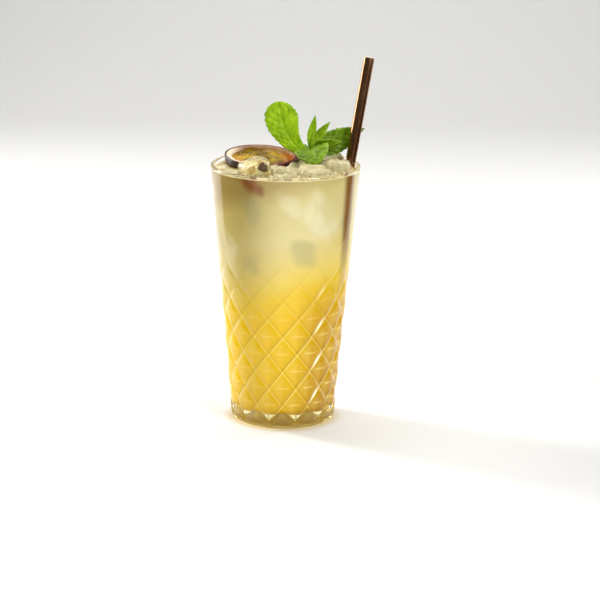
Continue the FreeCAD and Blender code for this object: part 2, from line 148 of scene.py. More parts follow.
class Finish:
    """A node material. Each finish below adds its name and its shader."""

    name = "finish"

    def material(self) -> bpy.types.Material:
        """Build the material.

        Returns:
            The material, with the finish's shader on its surface.
        """
        material = bpy.data.materials.new(self.name)
        material.use_nodes = True
        self.tree = material.node_tree
        self.tree.nodes.clear()
        output = self.tree.nodes.new("ShaderNodeOutputMaterial")
        self.place = self.get("TexCoord", "Object")
        self.tree.links.new(self.shader().socket, output.inputs["Surface"])
        return material

    def shader(self) -> Value:
        """Shader of the finish."""
        raise NotImplementedError

    def get(self, kind: str, output: Any = 0, sockets: Optional[dict] = None, **settings: Any) -> Value:
        """One output, by name or number, of a new node."""
        return Value(add_node(self.tree, kind, sockets, **settings).outputs[output])

    def axis(self, name: str) -> Value:
        """The point's "X", "Y" or "Z" in metres."""
        return self.get("SeparateXYZ", name, {0: self.place})

    def field(self, name: str) -> Value:
        """Point attribute of the mesh."""
        return self.get("Attribute", "Fac", attribute_name=name)

    def noise(self, scale: float, detail: float = 2.0, **more: float) -> Value:
        """Noise in patches about 1 / scale metres wide."""
        return self.get("TexNoise", "Fac", {"Vector": self.place, "Scale": scale, "Detail": detail, **more})

    def mix(self, share: Any, low: Any, high: Any, blend: str = "MIX") -> Value:
        """Mix of two colours, each a hex or a Value; share is the second one's."""
        settings = {"data_type": "RGBA", "blend_type": blend, "clamp_factor": True}
        return self.get("Mix", 2, {0: share, 6: low, 7: high}, **settings)

    def tint(self, share: Any, colour: Value, filter_colour: str) -> Value:
        """Colour as seen through a filter that covers it by share."""
        return self.mix(share, colour, self.mix(1.0, colour, filter_colour, "MULTIPLY"))

    def bump(self, height: Value, strength: float, distance: float, **settings: Any) -> Value:
        """Normal of a surface that a height field raises by up to distance metres."""
        return self.get("Bump", "Normal", {"Height": height, "Strength": strength, "Distance": distance}, **settings)

    def surface(self, colour: Any, roughness: Any, **inputs: Any) -> Value:
        """Principled shader; further inputs are named in lower case, such as coat_weight."""
        named = {key.replace("_", " ").title().replace("Ior", "IOR"): value for key, value in inputs.items()}
        return self.get("BsdfPrincipled", 0, {"Base Color": colour, "Roughness": roughness, **named})

    def blend(self, share: Any, first: Value, second: Value) -> Value:
        """Mix of two shaders; share is the second one's."""
        return self.get("MixShader", 0, {0: share, 1: first, 2: second})


# ------------------------------------------------------------------ numpy shapes
def smooth_step(value: np.ndarray, low: float, high: float) -> np.ndarray:
    """Ease from 0 at low to 1 at high with level ends."""
    share = np.clip((value - low) / (high - low), 0.0, 1.0)
    return share * share * (3.0 - 2.0 * share)


def soft_noise(points: np.ndarray, wave: float, seed: int, waves: int = 14) -> np.ndarray:
    """Smooth noise: the mean of randomly turned sine waves of about one wavelength.

    Args:
        points: (..., 3) places.
        wave: Wavelength.
        seed: Random seed.
        waves: Number of waves.

    Returns:
        Noise of unit spread with the shape of points less its last axis.
    """
    rng = np.random.default_rng(seed)
    heading = rng.normal(size=(waves, 3))
    heading /= np.linalg.norm(heading, axis=1, keepdims=True)
    pace = 2.0 * math.pi / wave * rng.uniform(0.6, 1.5, size=(waves, 1))
    phase = rng.uniform(0, 2 * math.pi, size=waves)
    return np.sin(points @ (heading * pace).T + phase).sum(axis=-1) / math.sqrt(waves / 2.0)


def ring_faces(rings: int, around: int, first: int = 0) -> np.ndarray:
    """Quads between neighbouring closed rings, facing outwards when rings rise anticlockwise.

    Args:
        rings: Number of rings.
        around: Points in a ring.
        first: Index of the first ring's first point.

    Returns:
        (N, 4) corner indices.
    """
    row = np.arange(rings - 1)[:, None] * around + first
    col = np.arange(around)[None, :]
    nxt = (col + 1) % around
    return np.stack([row + col, row + nxt, row + around + nxt, row + around + col], axis=-1).reshape(-1, 4)


def sheet_faces(rows: int, cols: int, first: int = 0) -> np.ndarray:
    """Quads of an open grid of rows by cols points.

    Args:
        rows: Rows of points.
        cols: Points in a row.
        first: Index of the first point.

    Returns:
        (N, 4) corner indices.
    """
    row = np.arange(rows - 1)[:, None] * cols + first
    col = np.arange(cols - 1)[None, :]
    return np.stack([row + col, row + col + 1, row + cols + col + 1, row + cols + col], axis=-1).reshape(-1, 4)


def capped_rings(rings: np.ndarray) -> tuple[np.ndarray, list[np.ndarray]]:
    """Close a stack of rings with a point at the middle of each end.

    Args:
        rings: (rings, around, 3) points, anticlockwise seen from above and rising.

    Returns:
        Vertices and a list of face arrays.
    """
    count, around = rings.shape[:2]
    low = rings[0].mean(axis=0)
    high = rings[-1].mean(axis=0)
    vertices = np.concatenate([low[None], rings.reshape(-1, 3), high[None]])
    col = np.arange(around)
    nxt = (col + 1) % around
    last = 1 + (count - 1) * around
    under = np.stack([np.zeros(around, int), 1 + nxt, 1 + col], axis=-1)
    over = np.stack([np.full(around, len(vertices) - 1), last + col, last + nxt], axis=-1)
    return vertices, [ring_faces(count, around, 1), under, over]


def turned(profile: np.ndarray, around: int) -> np.ndarray:
    """Carry a profile of (radius, height) round the Z axis.

    Args:
        profile: (N, 2) radii and heights.
        around: Points in a ring.

    Returns:
        (N, around, 3) points.
    """
    angle = np.arange(around) * 2 * math.pi / around
    height = np.repeat(profile[:, 1:], around, axis=1)
    return np.stack([profile[:, :1] * np.cos(angle), profile[:, :1] * np.sin(angle), height], axis=-1)


def arc(centre: tuple[float, float], radius: float, start: float, end: float, steps: int) -> np.ndarray:
    """Points of a circular arc, angles in degrees from +radius towards +height."""
    angle = np.radians(np.linspace(start, end, steps))
    return np.stack([centre[0] + radius * np.cos(angle), centre[1] + radius * np.sin(angle)], axis=-1)


def add_piece(
    name: str,
    vertices: np.ndarray,
    faces: Sequence[np.ndarray],
    material: bpy.types.Material,
    stands_for: Sequence[str] = (),
    fields: Optional[dict[str, np.ndarray]] = None,
) -> bpy.types.Object:
    """Make a smooth mesh piece, fix it to the drink and hide the CAD nodes that it stands for.

    Args:
        name: Name of the piece.
        vertices: (N, 3) points in metres.
        faces: Arrays of triangles or quads.
        material: Finish of the piece.
        stands_for: CAD nodes that the piece replaces.
        fields: Point attributes, name to N values.

    Returns:
        The new object.
    """
    mesh = bpy.data.meshes.new(name)
    mesh.vertices.add(len(vertices))
    mesh.vertices.foreach_set("co", np.ascontiguousarray(vertices, dtype=np.float32).ravel())
    sizes = np.concatenate([np.full(len(f), f.shape[1]) for f in faces])
    corners = np.concatenate([f.ravel() for f in faces]).astype(np.int32)
    mesh.loops.add(len(corners))
    mesh.loops.foreach_set("vertex_index", corners)
    mesh.polygons.add(len(sizes))
    mesh.polygons.foreach_set("loop_start", np.concatenate([[0], np.cumsum(sizes)[:-1]]).astype(np.int32))
    mesh.polygons.foreach_set("use_smooth", np.ones(len(sizes), dtype=bool))
    mesh.update(calc_edges=True)
    mesh.validate()
    for key, values in (fields or {}).items():
        mesh.attributes.new(key, "FLOAT", "POINT").data.foreach_set("value", values.astype(np.float32).ravel())
    mesh.materials.append(material)
    piece = bpy.data.objects.new(name, mesh)
    bpy.context.scene.collection.objects.link(piece)
    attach(piece, "root")
    if stands_for:
        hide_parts(*stands_for)
    LOG.info("%s: %d faces", name, len(sizes))
    return piece


def joined(parts: Sequence[tuple[np.ndarray, Sequence[np.ndarray]]]) -> tuple[np.ndarray, list[np.ndarray]]:
    """Join several shapes into one.

    Args:
        parts: (vertices, faces) of each shape.

    Returns:
        Vertices and faces of them all.
    """
    vertices: list[np.ndarray] = []
    faces: list[np.ndarray] = []
    count = 0
    for points, polygons in parts:
        vertices.append(points)
        faces.extend(f + count for f in polygons)
        count += len(points)
    return np.concatenate(vertices), faces


# ------------------------------------------------------------------ finishes
class SodaGlass(Finish):
    """Clear soda-lime glass, pressed and fire polished, with a faint waviness."""

    name = "pressed_soda_glass"

    def shader(self) -> Value:
        """Glass to the eye; the lamps' light goes straight through to what is behind.

        Returns:
            The finish's shader.
        """
        # long shallow waves of the mould, about 14 mm apart
        bump = self.bump(self.noise(70.0, 1.0), 0.12, 0.0006)
        # painted light: the thick foot is tinted gold up to about 8 mm, for the juice's colour that it carries from
        # above
        tint = (self.axis("Z") * 100.0).ramp((0.05, "#C2BC74"), (0.42, "#C9B85A"), (0.78, "#FBFDFA"))
        glass = self.surface(tint, 0.0, ior=1.5, specular_ior_level=0.36, transmission_weight=1.0, normal=bump)
        clear = self.get("BsdfTransparent", 0, {"Color": "#F4F7F4"})
        lamps = self.get("LightPath", "Is Shadow Ray").math("MAXIMUM", self.get("LightPath", "Is Diffuse Ray"))
        return self.blend(lamps, glass, clear)


@dataclass
class CloudyJuice(Finish):
    """Cloudy mango and passion fruit juice: saturated at the bottom, milky where ice melts."""

    glass: "PressedTumbler"
    name = "cloudy_mango_juice"

    def cut_light(self) -> tuple[Value, Value]:
        """Light and shade that the cuts in front throw on the juice.

        With s and t as in the tumbler's relief, each cut lies where s + t or t - s is an
        even number. Light falls on the flank below a cut and shade on the one above: a
        sine that a bell curve narrows to the cut. Where both are odd a low pyramid has its
        top, u and v away: its left faces and its level ridge are lit. All of it stops at
        the lattice's zigzags.

        Returns:
            Shade below zero or light above it, and the glints in the cuts that rise to the right.
        """
        pitch = 180.0 / self.glass.columns
        turn = self.axis("X").math("ARCTAN2", self.axis("Y") * -1.0) * math.degrees(1.0)
        s = (turn - self.glass.lattice_turn) * (1.0 / pitch)
        t = (self.axis("Z") - self.glass.lattice_start) * (1.0 / self.glass.lattice_step)
        flanks, odd = [], []
        for way in (1.0, -1.0):
            across = s * way + t
            near = across.math("PINGPONG", 1.0)
            bell = (near * near * -66.0).math("EXPONENT")
            flanks.append((across * math.pi).math("SINE") * bell * -4.0)
            odd.append(across.math("WRAP", 2.0, 0.0) - 1.0)
        u = (odd[0] - odd[1]) * 0.5
        v = (odd[0] + odd[1]) * 0.5
        face = u.span(-0.12, 0.12, 0.26, -0.10)
        ridge = (v * v * -420.0).math("EXPONENT") * u.math("ABSOLUTE").span(0.25, 0.5, 0.8, 0.0)
        zig = s.math("PINGPONG", 1.0)
        inside = (zig + 8.15 - t).math("GREATER_THAN") * (t - zig + 0.15).math("GREATER_THAN")
        shown = inside * t.span(4.8, 8.0, 1.0, 0.06)
        # a lamp mirrored in one column of cuts
        along = s - 1.55
        glint = (along * along * -16.0 + near * near * -45.0).math("EXPONENT") * shown
        return (flanks[0] + flanks[1] + face + ridge) * shown, glint

    def shader(self) -> Value:
        """Layered colour by height with painted shade at the sides, dulled where ice and fruit lie behind, lit by the
        cuts.

        Returns:
            The finish's shader.
        """
        # layers wander by about 5 mm, over clouds some 40 mm wide
        cloud = self.noise(26.0, 3.0)
        lean = self.field("lean")
        level = self.axis("Z") + cloud * 0.014 - 0.007 + lean
        layer = (level * (1.0 / 0.150)).ramp(
            (0.06, "#DDAC06"),
            (0.20, "#EBBA02"),
            (0.44, "#F1C006"),
            (0.53, "#F0C626"),
            (0.585, "#EFCE5A"),
            (0.66, "#E8D080"),
            (0.76, "#E4D298"),
            (0.90, "#DAC788"),
            (0.98, "#B79D62"),
        )
        # painted shade: darker on the left side, and darker and more orange low on the right
        painted_side_shade = self.tint(self.field("amber"), self.tint(self.field("side"), layer, "#DFD6B4"), "#E4D69C")
        # milky swirls of melt water in the upper half, then what lies behind the wall
        shade = self.mix(self.field("milk") * self.noise(55.0, 4.0, Distortion=1.2), painted_side_shade, "#F4EBC8")
        shade = self.mix(self.field("ice"), shade, self.mix(0.7, shade, "#8F8A66"))
        shade = self.mix(self.field("fruit"), shade, cloud.ramp((0.40, "#5A2414"), (0.62, "#9A5426")))
        shade = self.mix(self.field("straw"), shade, "#84521A")
        # the cuts gather light on one flank and shade the other, more so on the right
        light, glint = self.cut_light()
        lit = self.field("lit") * 0.12 + light * lean.span(0.006, -0.006, 0.34, 0.80)
        shade = self.mix(lit, shade, self.mix(0.7, shade, "#FFEB86"))
        shade = self.mix(lit * -1.0, shade, self.mix(0.75, shade, "#94690A"))
        shade = self.mix(glint, shade, "#FFFBE4")
        glow = {"emission_color": "#FFF6D0", "emission_strength": glint * 1.1}
        return self.surface(shade, 0.25, specular_ior_level=0.0, **glow)


class JuiceTop(Finish):
    """Free surface of the juice between the ice: wet, slightly foamy."""

    name = "juice_free_surface"

    def shader(self) -> Value:
        """Wet surface over pale, clouded foam.

        Returns:
            The finish's shader.
        """
        cloud = self.noise(140.0, 4.0)
        shade = cloud.ramp((0.3, "#CDB97C"), (0.5, "#DCCB93"), (0.72, "#EADDB2"))
        return self.surface(shade, 0.08, ior=1.34, normal=self.bump(cloud, 0.4, 0.0006))


class IceKind(Enum):
    """How clear a lump of ice is."""

    CLEAR = "clear"
    CLOUDY = "cloudy"


@dataclass
class WetIce(Finish):
    """Melting ice, clear or cloudy: a wet skin over white cracks and trapped juice."""

    kind: IceKind

    @property
    def name(self) -> str:
        """Name of the material."""
        return "wet_ice_" + self.kind.value

    def shader(self) -> Value:
        """Clear body with frost in it, more of it in a cloudy lump.

        Returns:
            The finish's shader.
        """
        clear = self.kind is IceKind.CLEAR
        # cracks and bubbles, 2 to 6 mm wide
        frost = self.noise(260.0, 5.0, Roughness=0.65)
        bump = self.bump(self.noise(240.0, 1.5), 0.2, 0.0008)
        colour, roughness = ("#F6F4E6", 0.02) if clear else ("#EEE6C8", 0.06)
        body = self.surface(colour, roughness, ior=1.31, transmission_weight=1.0, normal=bump)
        milk = self.surface(frost.ramp((0.30, "#BDAF7C"), (0.70, "#D8CCA2")), 0.12, ior=1.31, normal=bump)
        share = frost.span(0.60, 0.80, 0.05, 0.8) if clear else frost.span(0.30, 0.62, 0.70, 0.93)
        return self.blend(share, body, milk)


class RoseCopper(Finish):
    """Drawn steel tube, copper plated and polished: a mirror with a fine uneven film."""

    name = "polished_rose_copper"

    def shader(self) -> Value:
        """Metal with a film of uneven tone and gloss.

        Returns:
            The finish's shader.
        """
        film = self.noise(90.0, 3.0)
        gloss = film.span(0.0, 1.0, 0.15, 0.27)
        return self.surface(film.ramp((0.3, "#A06C48"), (0.7, "#BA875F")), gloss, metallic=1.0)


class PassionSkin(Finish):
    """Passion fruit rind: dark, leathery, with a faint waxy gloss and pinpricks."""

    name = "passion_fruit_rind"

    def shader(self) -> Value:
        """Blotched rind, redder at the rim.

        Returns:
            The finish's shader.
        """
        blotch = self.noise(110.0, 4.0)
        rind = blotch.ramp((0.30, "#1A0806"), (0.55, "#32120C"), (0.78, "#501F14"))
        shade = self.mix(self.field("rim") * 0.8, rind, "#8A2C1A")
        pore = self.get("TexVoronoi", "Distance", {"Vector": self.place, "Scale": 900.0})
        wax = {"specular_ior_level": 0.3, "coat_weight": 0.08, "coat_roughness": 0.2}
        return self.surface(shade, 0.42, normal=self.bump(pore + blotch, 0.35, 0.0004), **wax)


class PassionPith(Finish):
    """Pith of the rind: spongy and moist, cream, red brown at the rim, amber where wet."""

    name = "passion_fruit_pith"

    def shader(self) -> Value:
        """Cream pith with its rim and its wet part.

        Returns:
            The finish's shader.
        """
        spongy = self.noise(420.0, 4.0)
        rim = self.field("rim")
        dry = self.mix(rim, spongy.ramp((0.3, "#D9BDA0"), (0.7, "#EEDCC4")), "#6E2812")
        wet = self.field("amber") * self.noise(70.0, 2.0).ramp((0.25, "#808080"), (0.6, "#FFFFFF"))
        shade = self.mix(wet, dry, self.mix(rim, "#9A620A", "#64230E"))
        moist = {"specular_ior_level": 0.2, "subsurface_weight": 0.15, "subsurface_scale": 0.0015}
        return self.surface(shade, 0.5, normal=self.bump(spongy, 0.5, 0.0005), **moist)


class PassionPulp(Finish):
    """Jelly of the pulp: wet sacs, olive yellow with orange at the sides."""

    name = "passion_fruit_pulp"

    def shader(self) -> Value:
        """Olive and orange jelly.

        Returns:
            The finish's shader.
        """
        patch = self.noise(120.0, 3.0)
        olive = patch.ramp((0.28, "#5A4400"), (0.5, "#8C6C00"), (0.75, "#B49400"))
        orange = patch.ramp((0.3, "#8E3E06"), (0.7, "#C86E0E"))
        shade = self.mix(self.field("amber"), olive, orange)
        jelly = {"specular_ior_level": 0.22, "subsurface_weight": 0.15, "subsurface_scale": 0.002}
        return self.surface(shade, 0.14, normal=self.bump(patch, 0.3, 0.0008), **jelly)


class PassionSeed(Finish):
    """Hard brown-black seed under a film of pulp: dark and glossy."""

    name = "passion_fruit_seed"

    def shader(self) -> Value:
        """Mottled seed.

        Returns:
            The finish's shader.
        """
        shade = self.noise(800.0).ramp((0.3, "#2E1E06"), (0.7, "#5E420C"))
        return self.surface(shade, 0.35, specular_ior_level=0.3)


class MintLeaf(Finish):
    """Fresh mint leaf: quilted between pale veins, a matt green that lets light through."""

    name = "fresh_mint_leaf"

    def shader(self) -> Value:
        """Green by age, paler on veins and edge, with light from behind.

        Returns:
            The finish's shader.
        """
        patch = self.noise(160.0, 4.0)
        old = patch.ramp((0.3, "#304E00"), (0.5, "#4A6C00"), (0.72, "#6A8C06"))
        fresh = patch.ramp((0.3, "#84AC0A"), (0.5, "#A4CC14"), (0.72, "#C0E02A"))
        green = self.mix(self.field("young"), old, fresh)
        veined = self.mix(self.field("vein") * 0.30, green, "#C4DC3A")
        edged = self.mix(self.field("edge") * 0.5, veined, "#BFDD62")
        # the net of small veins, about 1.2 mm from one to the next
        cell = self.get("TexVoronoi", "Distance", {"Vector": self.place, "Scale": 820.0}, feature="SMOOTH_F1")
        bump = self.bump(cell, 0.55, 0.0006, invert=True)
        blade = self.surface(edged, 0.42, specular_ior_level=0.28, normal=bump)
        light = self.get("BsdfTranslucent", 0, {"Color": self.mix(0.5, edged, "#A6D81E"), "Normal": bump})
        return self.blend(0.28, blade, light)


@dataclass
class StudioPaper(Finish):
    """Matt studio paper."""

    colour: str = "#E3E2DF"
    name = "studio_paper"

    def shader(self) -> Value:
        """Faintly mottled sheet with painted golden light round the foot.

        Returns:
            The finish's shader.
        """
        sheet = self.mix(self.noise(3.0) * 0.05, self.colour, "#CFCECA")
        # painted light: gold colour and a faint glow under and round the foot, for the light that has come through
        # the juice
        flat = self.get("VectorMath", 0, {0: self.place, 1: (1.0, 1.0, 0.0)}, operation="MULTIPLY")
        reach = self.get("VectorMath", "Value", {0: flat}, operation="LENGTH")
        shade = self.mix(reach.span(0.026, 0.035, 0.8, 0.0), sheet, "#CDAC3A")
        glow = {"emission_color": "#C8AE34", "emission_strength": reach.span(0.026, 0.0305, 0.30, 0.0)}
        return self.surface(shade, 0.85, specular_ior_level=0.2, **glow)


# ------------------------------------------------------------------ tumbler
@dataclass
class PressedTumbler:
    """Tall glass with a lattice of cuts and low pyramids pressed into its lower wall."""

    height: float = 150.0 * MM
    rim_radius: float = 43.0 * MM
    foot_radius: float = 29.9 * MM
    heel_round: float = 4.0 * MM
    lip_wall: float = 2.3 * MM
    foot_wall: float = 4.2 * MM
    floor_height: float = 8.4 * MM
    floor_round: float = 4.5 * MM
    lip_round: float = 1.0 * MM
    columns: int = 12
    lattice_start: float = 3.8 * MM
    lattice_step: float = 10.45 * MM
    lattice_depth: float = 1.4 * MM
    lattice_turn: float = 14.4
    lozenge_share: float = 0.62
    lozenge_drop: float = 0.32 * MM
    across: int = 16

    def wall(self, height: Any) -> Any:
        """Outside radius of the plain wall at a height."""
        return self.foot_radius + (self.rim_radius - self.foot_radius) * height / self.height

    def inner(self, height: Any) -> Any:
        """Inside radius at a height.

        Args:
            height: Height above the table.

        Returns:
            Distance of the wall from the axis.
        """
        foot = self.foot_radius - self.foot_wall
        rim = self.rim_radius - self.lip_wall
        return foot + (rim - foot) * height / self.height

    def relief(self, turn: np.ndarray, height: np.ndarray) -> np.ndarray:
        """Depth of the pressed lattice below the plain wall.

        s and t count half pitches round and rows up from a crossing. The distance d from
        the nearest cut is the smaller of two triangle waves of s + t and s - t. The depth
        falls steeply with d over the cut's flank, then slowly to the lozenge's middle.
        Above the top zigzag and below the bottom one only the flank is left.

        Args:
            turn: Degrees from the front towards +X.
            height: Height above the table.

        Returns:
            Depth in metres.
        """
        s = (turn - self.lattice_turn) / (180.0 / self.columns)
        t = (height - self.lattice_start) / self.lattice_step

        def wave(value: np.ndarray) -> np.ndarray:
            """Triangle wave, 0 at even numbers and 1 at odd ones."""
            return np.abs(np.mod(value + 1.0, 2.0) - 1.0)

        top = 8.0 + wave(s)
        low = wave(s)
        flank = 1.0 - self.lozenge_share
        inside = np.minimum(wave(s + t), wave(s - t))
        fade = np.interp(t, [5.2, 6.0, 7.0, 8.0, 9.0, 9.6], [1.0, 0.92, 0.72, 0.45, 0.12, 0.0])
        full = self.lattice_depth
        steep = full + (self.lozenge_drop - full) * inside / flank
        shallow = self.lozenge_drop * (1.0 - (inside - flank) / self.lozenge_share)
        pressed = np.where(inside < flank, steep, shallow)
        beyond = np.where(t > top, t - top, low - t)
        plain = np.clip(full * (1.0 - beyond / flank), 0.0, None)
        return fade * np.where((t > top) | (t < low), plain, pressed)

    def soft_relief(self, turn: np.ndarray, height: np.ndarray) -> np.ndarray:
        """Relief with its edges rounded, as the mean over a patch 0.7 mm across.

        Args:
            turn: Degrees from the front towards +X.
            height: Height above the table.

        Returns:
            Depth in metres.
        """
        spread = 0.35 * MM
        mean_radius = 0.034
        total = np.zeros(np.broadcast(turn, height).shape)
        for step in range(6):
            angle = step * math.pi / 3.0
            aside = math.degrees(spread * math.cos(angle) / mean_radius)
            total += self.relief(turn + aside, height + spread * math.sin(angle))
        return total / 6.0

    def heights(self) -> np.ndarray:
        """Heights of the outer wall's rows, lined up with the rows of crossings.

        Returns:
            Heights in rising order.
        """
        band = self.lattice_start + self.lattice_step * np.arange(0, 9 * self.across + 1) / self.across
        above = np.linspace(band[-1], self.height - self.lip_round, 13)[1:]
        return np.concatenate([[self.heel_round * 0.98], band[band > self.heel_round], above])

    def build(self) -> None:
        """Make the glass as one closed surface: foot, heel, wall, lip, hollow."""
        around = self.columns * 2 * self.across
        slope = math.degrees(math.atan2(self.rim_radius - self.foot_radius, self.height))
        wall_z = self.heights()
        heel_x = self.wall(self.heel_round) - self.heel_round
        heel = arc((heel_x, self.heel_round), self.heel_round, -90.0, -slope, 9)[:-1]
        heel[-1, 1] = min(heel[-1, 1], wall_z[0] - 0.1 * MM)
        foot = np.stack([np.linspace(0.3, 1.0, 4)[:-1] * heel[0, 0], np.zeros(3)], axis=-1)
        wall = np.stack([self.wall(wall_z), wall_z], axis=-1)
        lip_z = self.height - self.lip_round
        lip_out = arc((self.rim_radius - self.lip_round, lip_z), self.lip_round, 0.0, 90.0, 7)[1:]
        lip_in = arc((self.rim_radius - self.lip_wall + self.lip_round, lip_z), self.lip_round, 90.0, 180.0, 7)
        corner_z = self.floor_height + self.floor_round
        down = np.linspace(self.height - self.lip_round * 1.6, corner_z, 22)
        hollow = np.stack([self.inner(down), down], axis=-1)
        corner = arc((self.inner(corner_z) - self.floor_round, corner_z), self.floor_round, 0.0, -90.0, 9)[1:]
        floor = np.stack([corner[-1, 0] * np.array([0.7, 0.35]), np.full(2, self.floor_height)], axis=-1)
        profile = np.concatenate([foot, heel, wall, lip_out, lip_in, hollow, corner, floor])
        rings = turned(profile, around)
        turn = np.degrees(np.arctan2(rings[..., 0], -rings[..., 1]))
        outside = np.zeros(len(profile), dtype=bool)
        outside[3 : 3 + len(heel) + len(wall)] = True
        radius = np.hypot(rings[..., 0], rings[..., 1])
        depth = self.soft_relief(turn, rings[..., 2]) * outside[:, None]
        depth *= smooth_step(rings[..., 2], 0.2 * MM, 3.0 * MM)
        rings[..., :2] *= ((radius - depth) / radius)[..., None]
        vertices, faces = capped_rings(rings)
        add_piece("pressed_tumbler", vertices, faces, SodaGlass().material(), ["glass"])


# ------------------------------------------------------------------ ice
@dataclass
class IceLump:
    """Half-melted lump: a box with swollen faces and rounded edges, turned three ways."""

    middle: np.ndarray
    half: np.ndarray
    turn: tuple[float, float, float]
    seed: int
    roundness: float = 5.0

    def rotation(self) -> np.ndarray:
        """Turn about Z, then nod about X and roll about Y, in degrees."""
        turn, nod, roll = (math.radians(a) for a in self.turn)
        return np.array(Matrix.Rotation(turn, 3, "Z") @ Matrix.Rotation(nod, 3, "X") @ Matrix.Rotation(roll, 3, "Y"))

    def shape(self, fine: int = 14) -> tuple[np.ndarray, list[np.ndarray]]:
        """Surface of the lump.

        A direction on the sphere is pushed out until the sum of its axis shares, each to
        the power of the roundness, is one. Smooth noise dents it.

        Args:
            fine: Rings from pole to pole, with twice as many points in each.

        Returns:
            Vertices and faces.
        """
        polar = np.linspace(0.0, math.pi, fine + 2)[1:-1][::-1]
        way = turned(np.stack([np.sin(polar), np.cos(polar)], axis=-1), fine * 2)
        reach = (np.abs(way) ** self.roundness).sum(axis=-1) ** (-1.0 / self.roundness)
        local = way * reach[..., None] * self.half
        mean = float(self.half.mean())
        dent = 1.0 + 0.035 * soft_noise(local, mean * 1.6, self.seed)
        dent += 0.012 * soft_noise(local, mean * 0.5, self.seed + 50)
        vertices, faces = capped_rings(local * dent[..., None])
        return vertices @ self.rotation().T + self.middle, faces

    def gap(self, points: np.ndarray) -> np.ndarray:
        """Rough distance from points to the lump's box, zero inside."""
        local = (points - self.middle) @ self.rotation()
        return np.linalg.norm(np.maximum(np.abs(local) - self.half, 0.0), axis=-1)


@dataclass
class IceHeap:
    """Lumps that stand out of the drink, and crushed ice between them."""

    glass: PressedTumbler
    level: float
    edge: float = 15.0 * MM
    chips: int = 240
    fruit_place: tuple[float, float] = (-0.0144, 0.0121)
    fruit_room: float = 0.0215
    # place in the rim as shares of the inner radius, rise above the drink in mm, size
    # as shares of the edge, turn, nod and roll in degrees
    lumps: tuple = (
        (-0.42, -0.60, 10.4, (1.10, 0.92, 1.15), 24.0, 10.0, -12.0),
        (-0.02, -0.70, 6.4, (0.82, 0.72, 0.95), -8.0, -6.0, 14.0),
        (0.36, -0.66, 7.4, (1.05, 0.80, 1.00), 15.0, 8.0, 6.0),
        (0.68, -0.34, 8.6, (1.00, 0.95, 1.10), 52.0, -9.0, 10.0),
        (0.62, 0.44, 7.2, (1.05, 1.00, 1.05), 30.0, 7.0, -9.0),
        (0.26, 0.72, 4.8, (1.00, 0.90, 0.95), -20.0, -8.0, 8.0),
        (0.20, -0.24, 3.4, (0.75, 0.70, 0.80), 40.0, 5.0, -6.0),
        (-0.76, -0.36, 1.6, (0.62, 0.60, 0.70), 10.0, 12.0, 9.0),
        (-0.10, -0.37, 2.8, (0.58, 0.56, 0.72), 20.0, -9.0, 12.0),
        (0.50, -0.01, 4.0, (0.60, 0.56, 0.74), -15.0, 10.0, 8.0),
        (0.10, 0.88, 2.0, (0.56, 0.44, 0.60), 6.0, 8.0, -10.0),
    )

    def standing(self) -> list[IceLump]:
        """Lumps that stand out of the drink, one for each of the CAD's.

        Returns:
            The lumps, in the order of their numbers.
        """
        radius = self.glass.inner(self.level)
        found = []
        for number, (x, y, rise, shares, turn, nod, roll) in enumerate(self.lumps, start=1):
            half = np.array(shares) * self.edge / 2.0
            middle = np.array([x * radius, y * radius, self.level + rise * MM - half[2] * 1.12])
            found.append(IceLump(middle, half, (turn, nod, roll), number))
        return found

    def build(self) -> None:
        """Make the standing lumps and the crushed ice."""
        clear = WetIce(IceKind.CLEAR).material()
        cloudy = WetIce(IceKind.CLOUDY).material()
        for number, lump in enumerate(self.standing(), start=1):
            vertices, faces = lump.shape(22)
            reach = np.hypot(vertices[:, 0], vertices[:, 1])
            room = self.glass.inner(vertices[:, 2]) - 0.25 * MM
            vertices[:, :2] *= np.minimum(1.0, room / np.maximum(reach, 1e-6))[:, None]
            finish = clear if number == 1 else cloudy
            add_piece("ice_lump_%d" % number, vertices, faces, finish, ["ice_lump_%d" % number])
        self.crush(cloudy)

    def crush(self, finish: bpy.types.Material) -> None:
        """Crushed ice between the lumps: small dented chips in a shallow heap, higher at the right.

        Args:
            finish: Material of the chips.
        """
        rng = np.random.default_rng(5)
        limit = self.glass.inner(self.level) - 0.3 * MM
        lumps = self.standing()
        parts = []
        for x, y in rng.uniform(-limit, limit, size=(2600, 2)):
            size = rng.uniform(1.6, 3.6) * MM
            if math.hypot(x, y) > limit - size:
                continue
            # the fruit's place stays free, and the open juice in front of it nearly so
            if math.dist((x, y), self.fruit_place) < self.fruit_room + size * 0.6:
                continue
            if x < -0.008 and y < 0.004 and rng.uniform() < 0.88:
                continue
            heap = 1.9 * smooth_step(np.array(x), -0.02, 0.03) + 0.5
            near = min(float(lump.gap(np.array([[x, y, self.level + 2.0 * MM]]))[0]) for lump in lumps)
            rise = rng.uniform(-0.6, 1.0) * heap * MM * (1.0 - min(near / 0.012, 1.0) * 0.7)
            half = size * rng.uniform(0.5, 1.0, size=3)
            middle = np.array([x, y, self.level + rise])
            chip = IceLump(middle, half, tuple(rng.uniform(-60, 60, size=3)), int(rng.integers(1, 999)), 3.5)
            parts.append(chip.shape(5))
            if len(parts) >= self.chips:
                break
        vertices, faces = joined(parts)
        add_piece("crushed_ice", vertices, faces, finish)


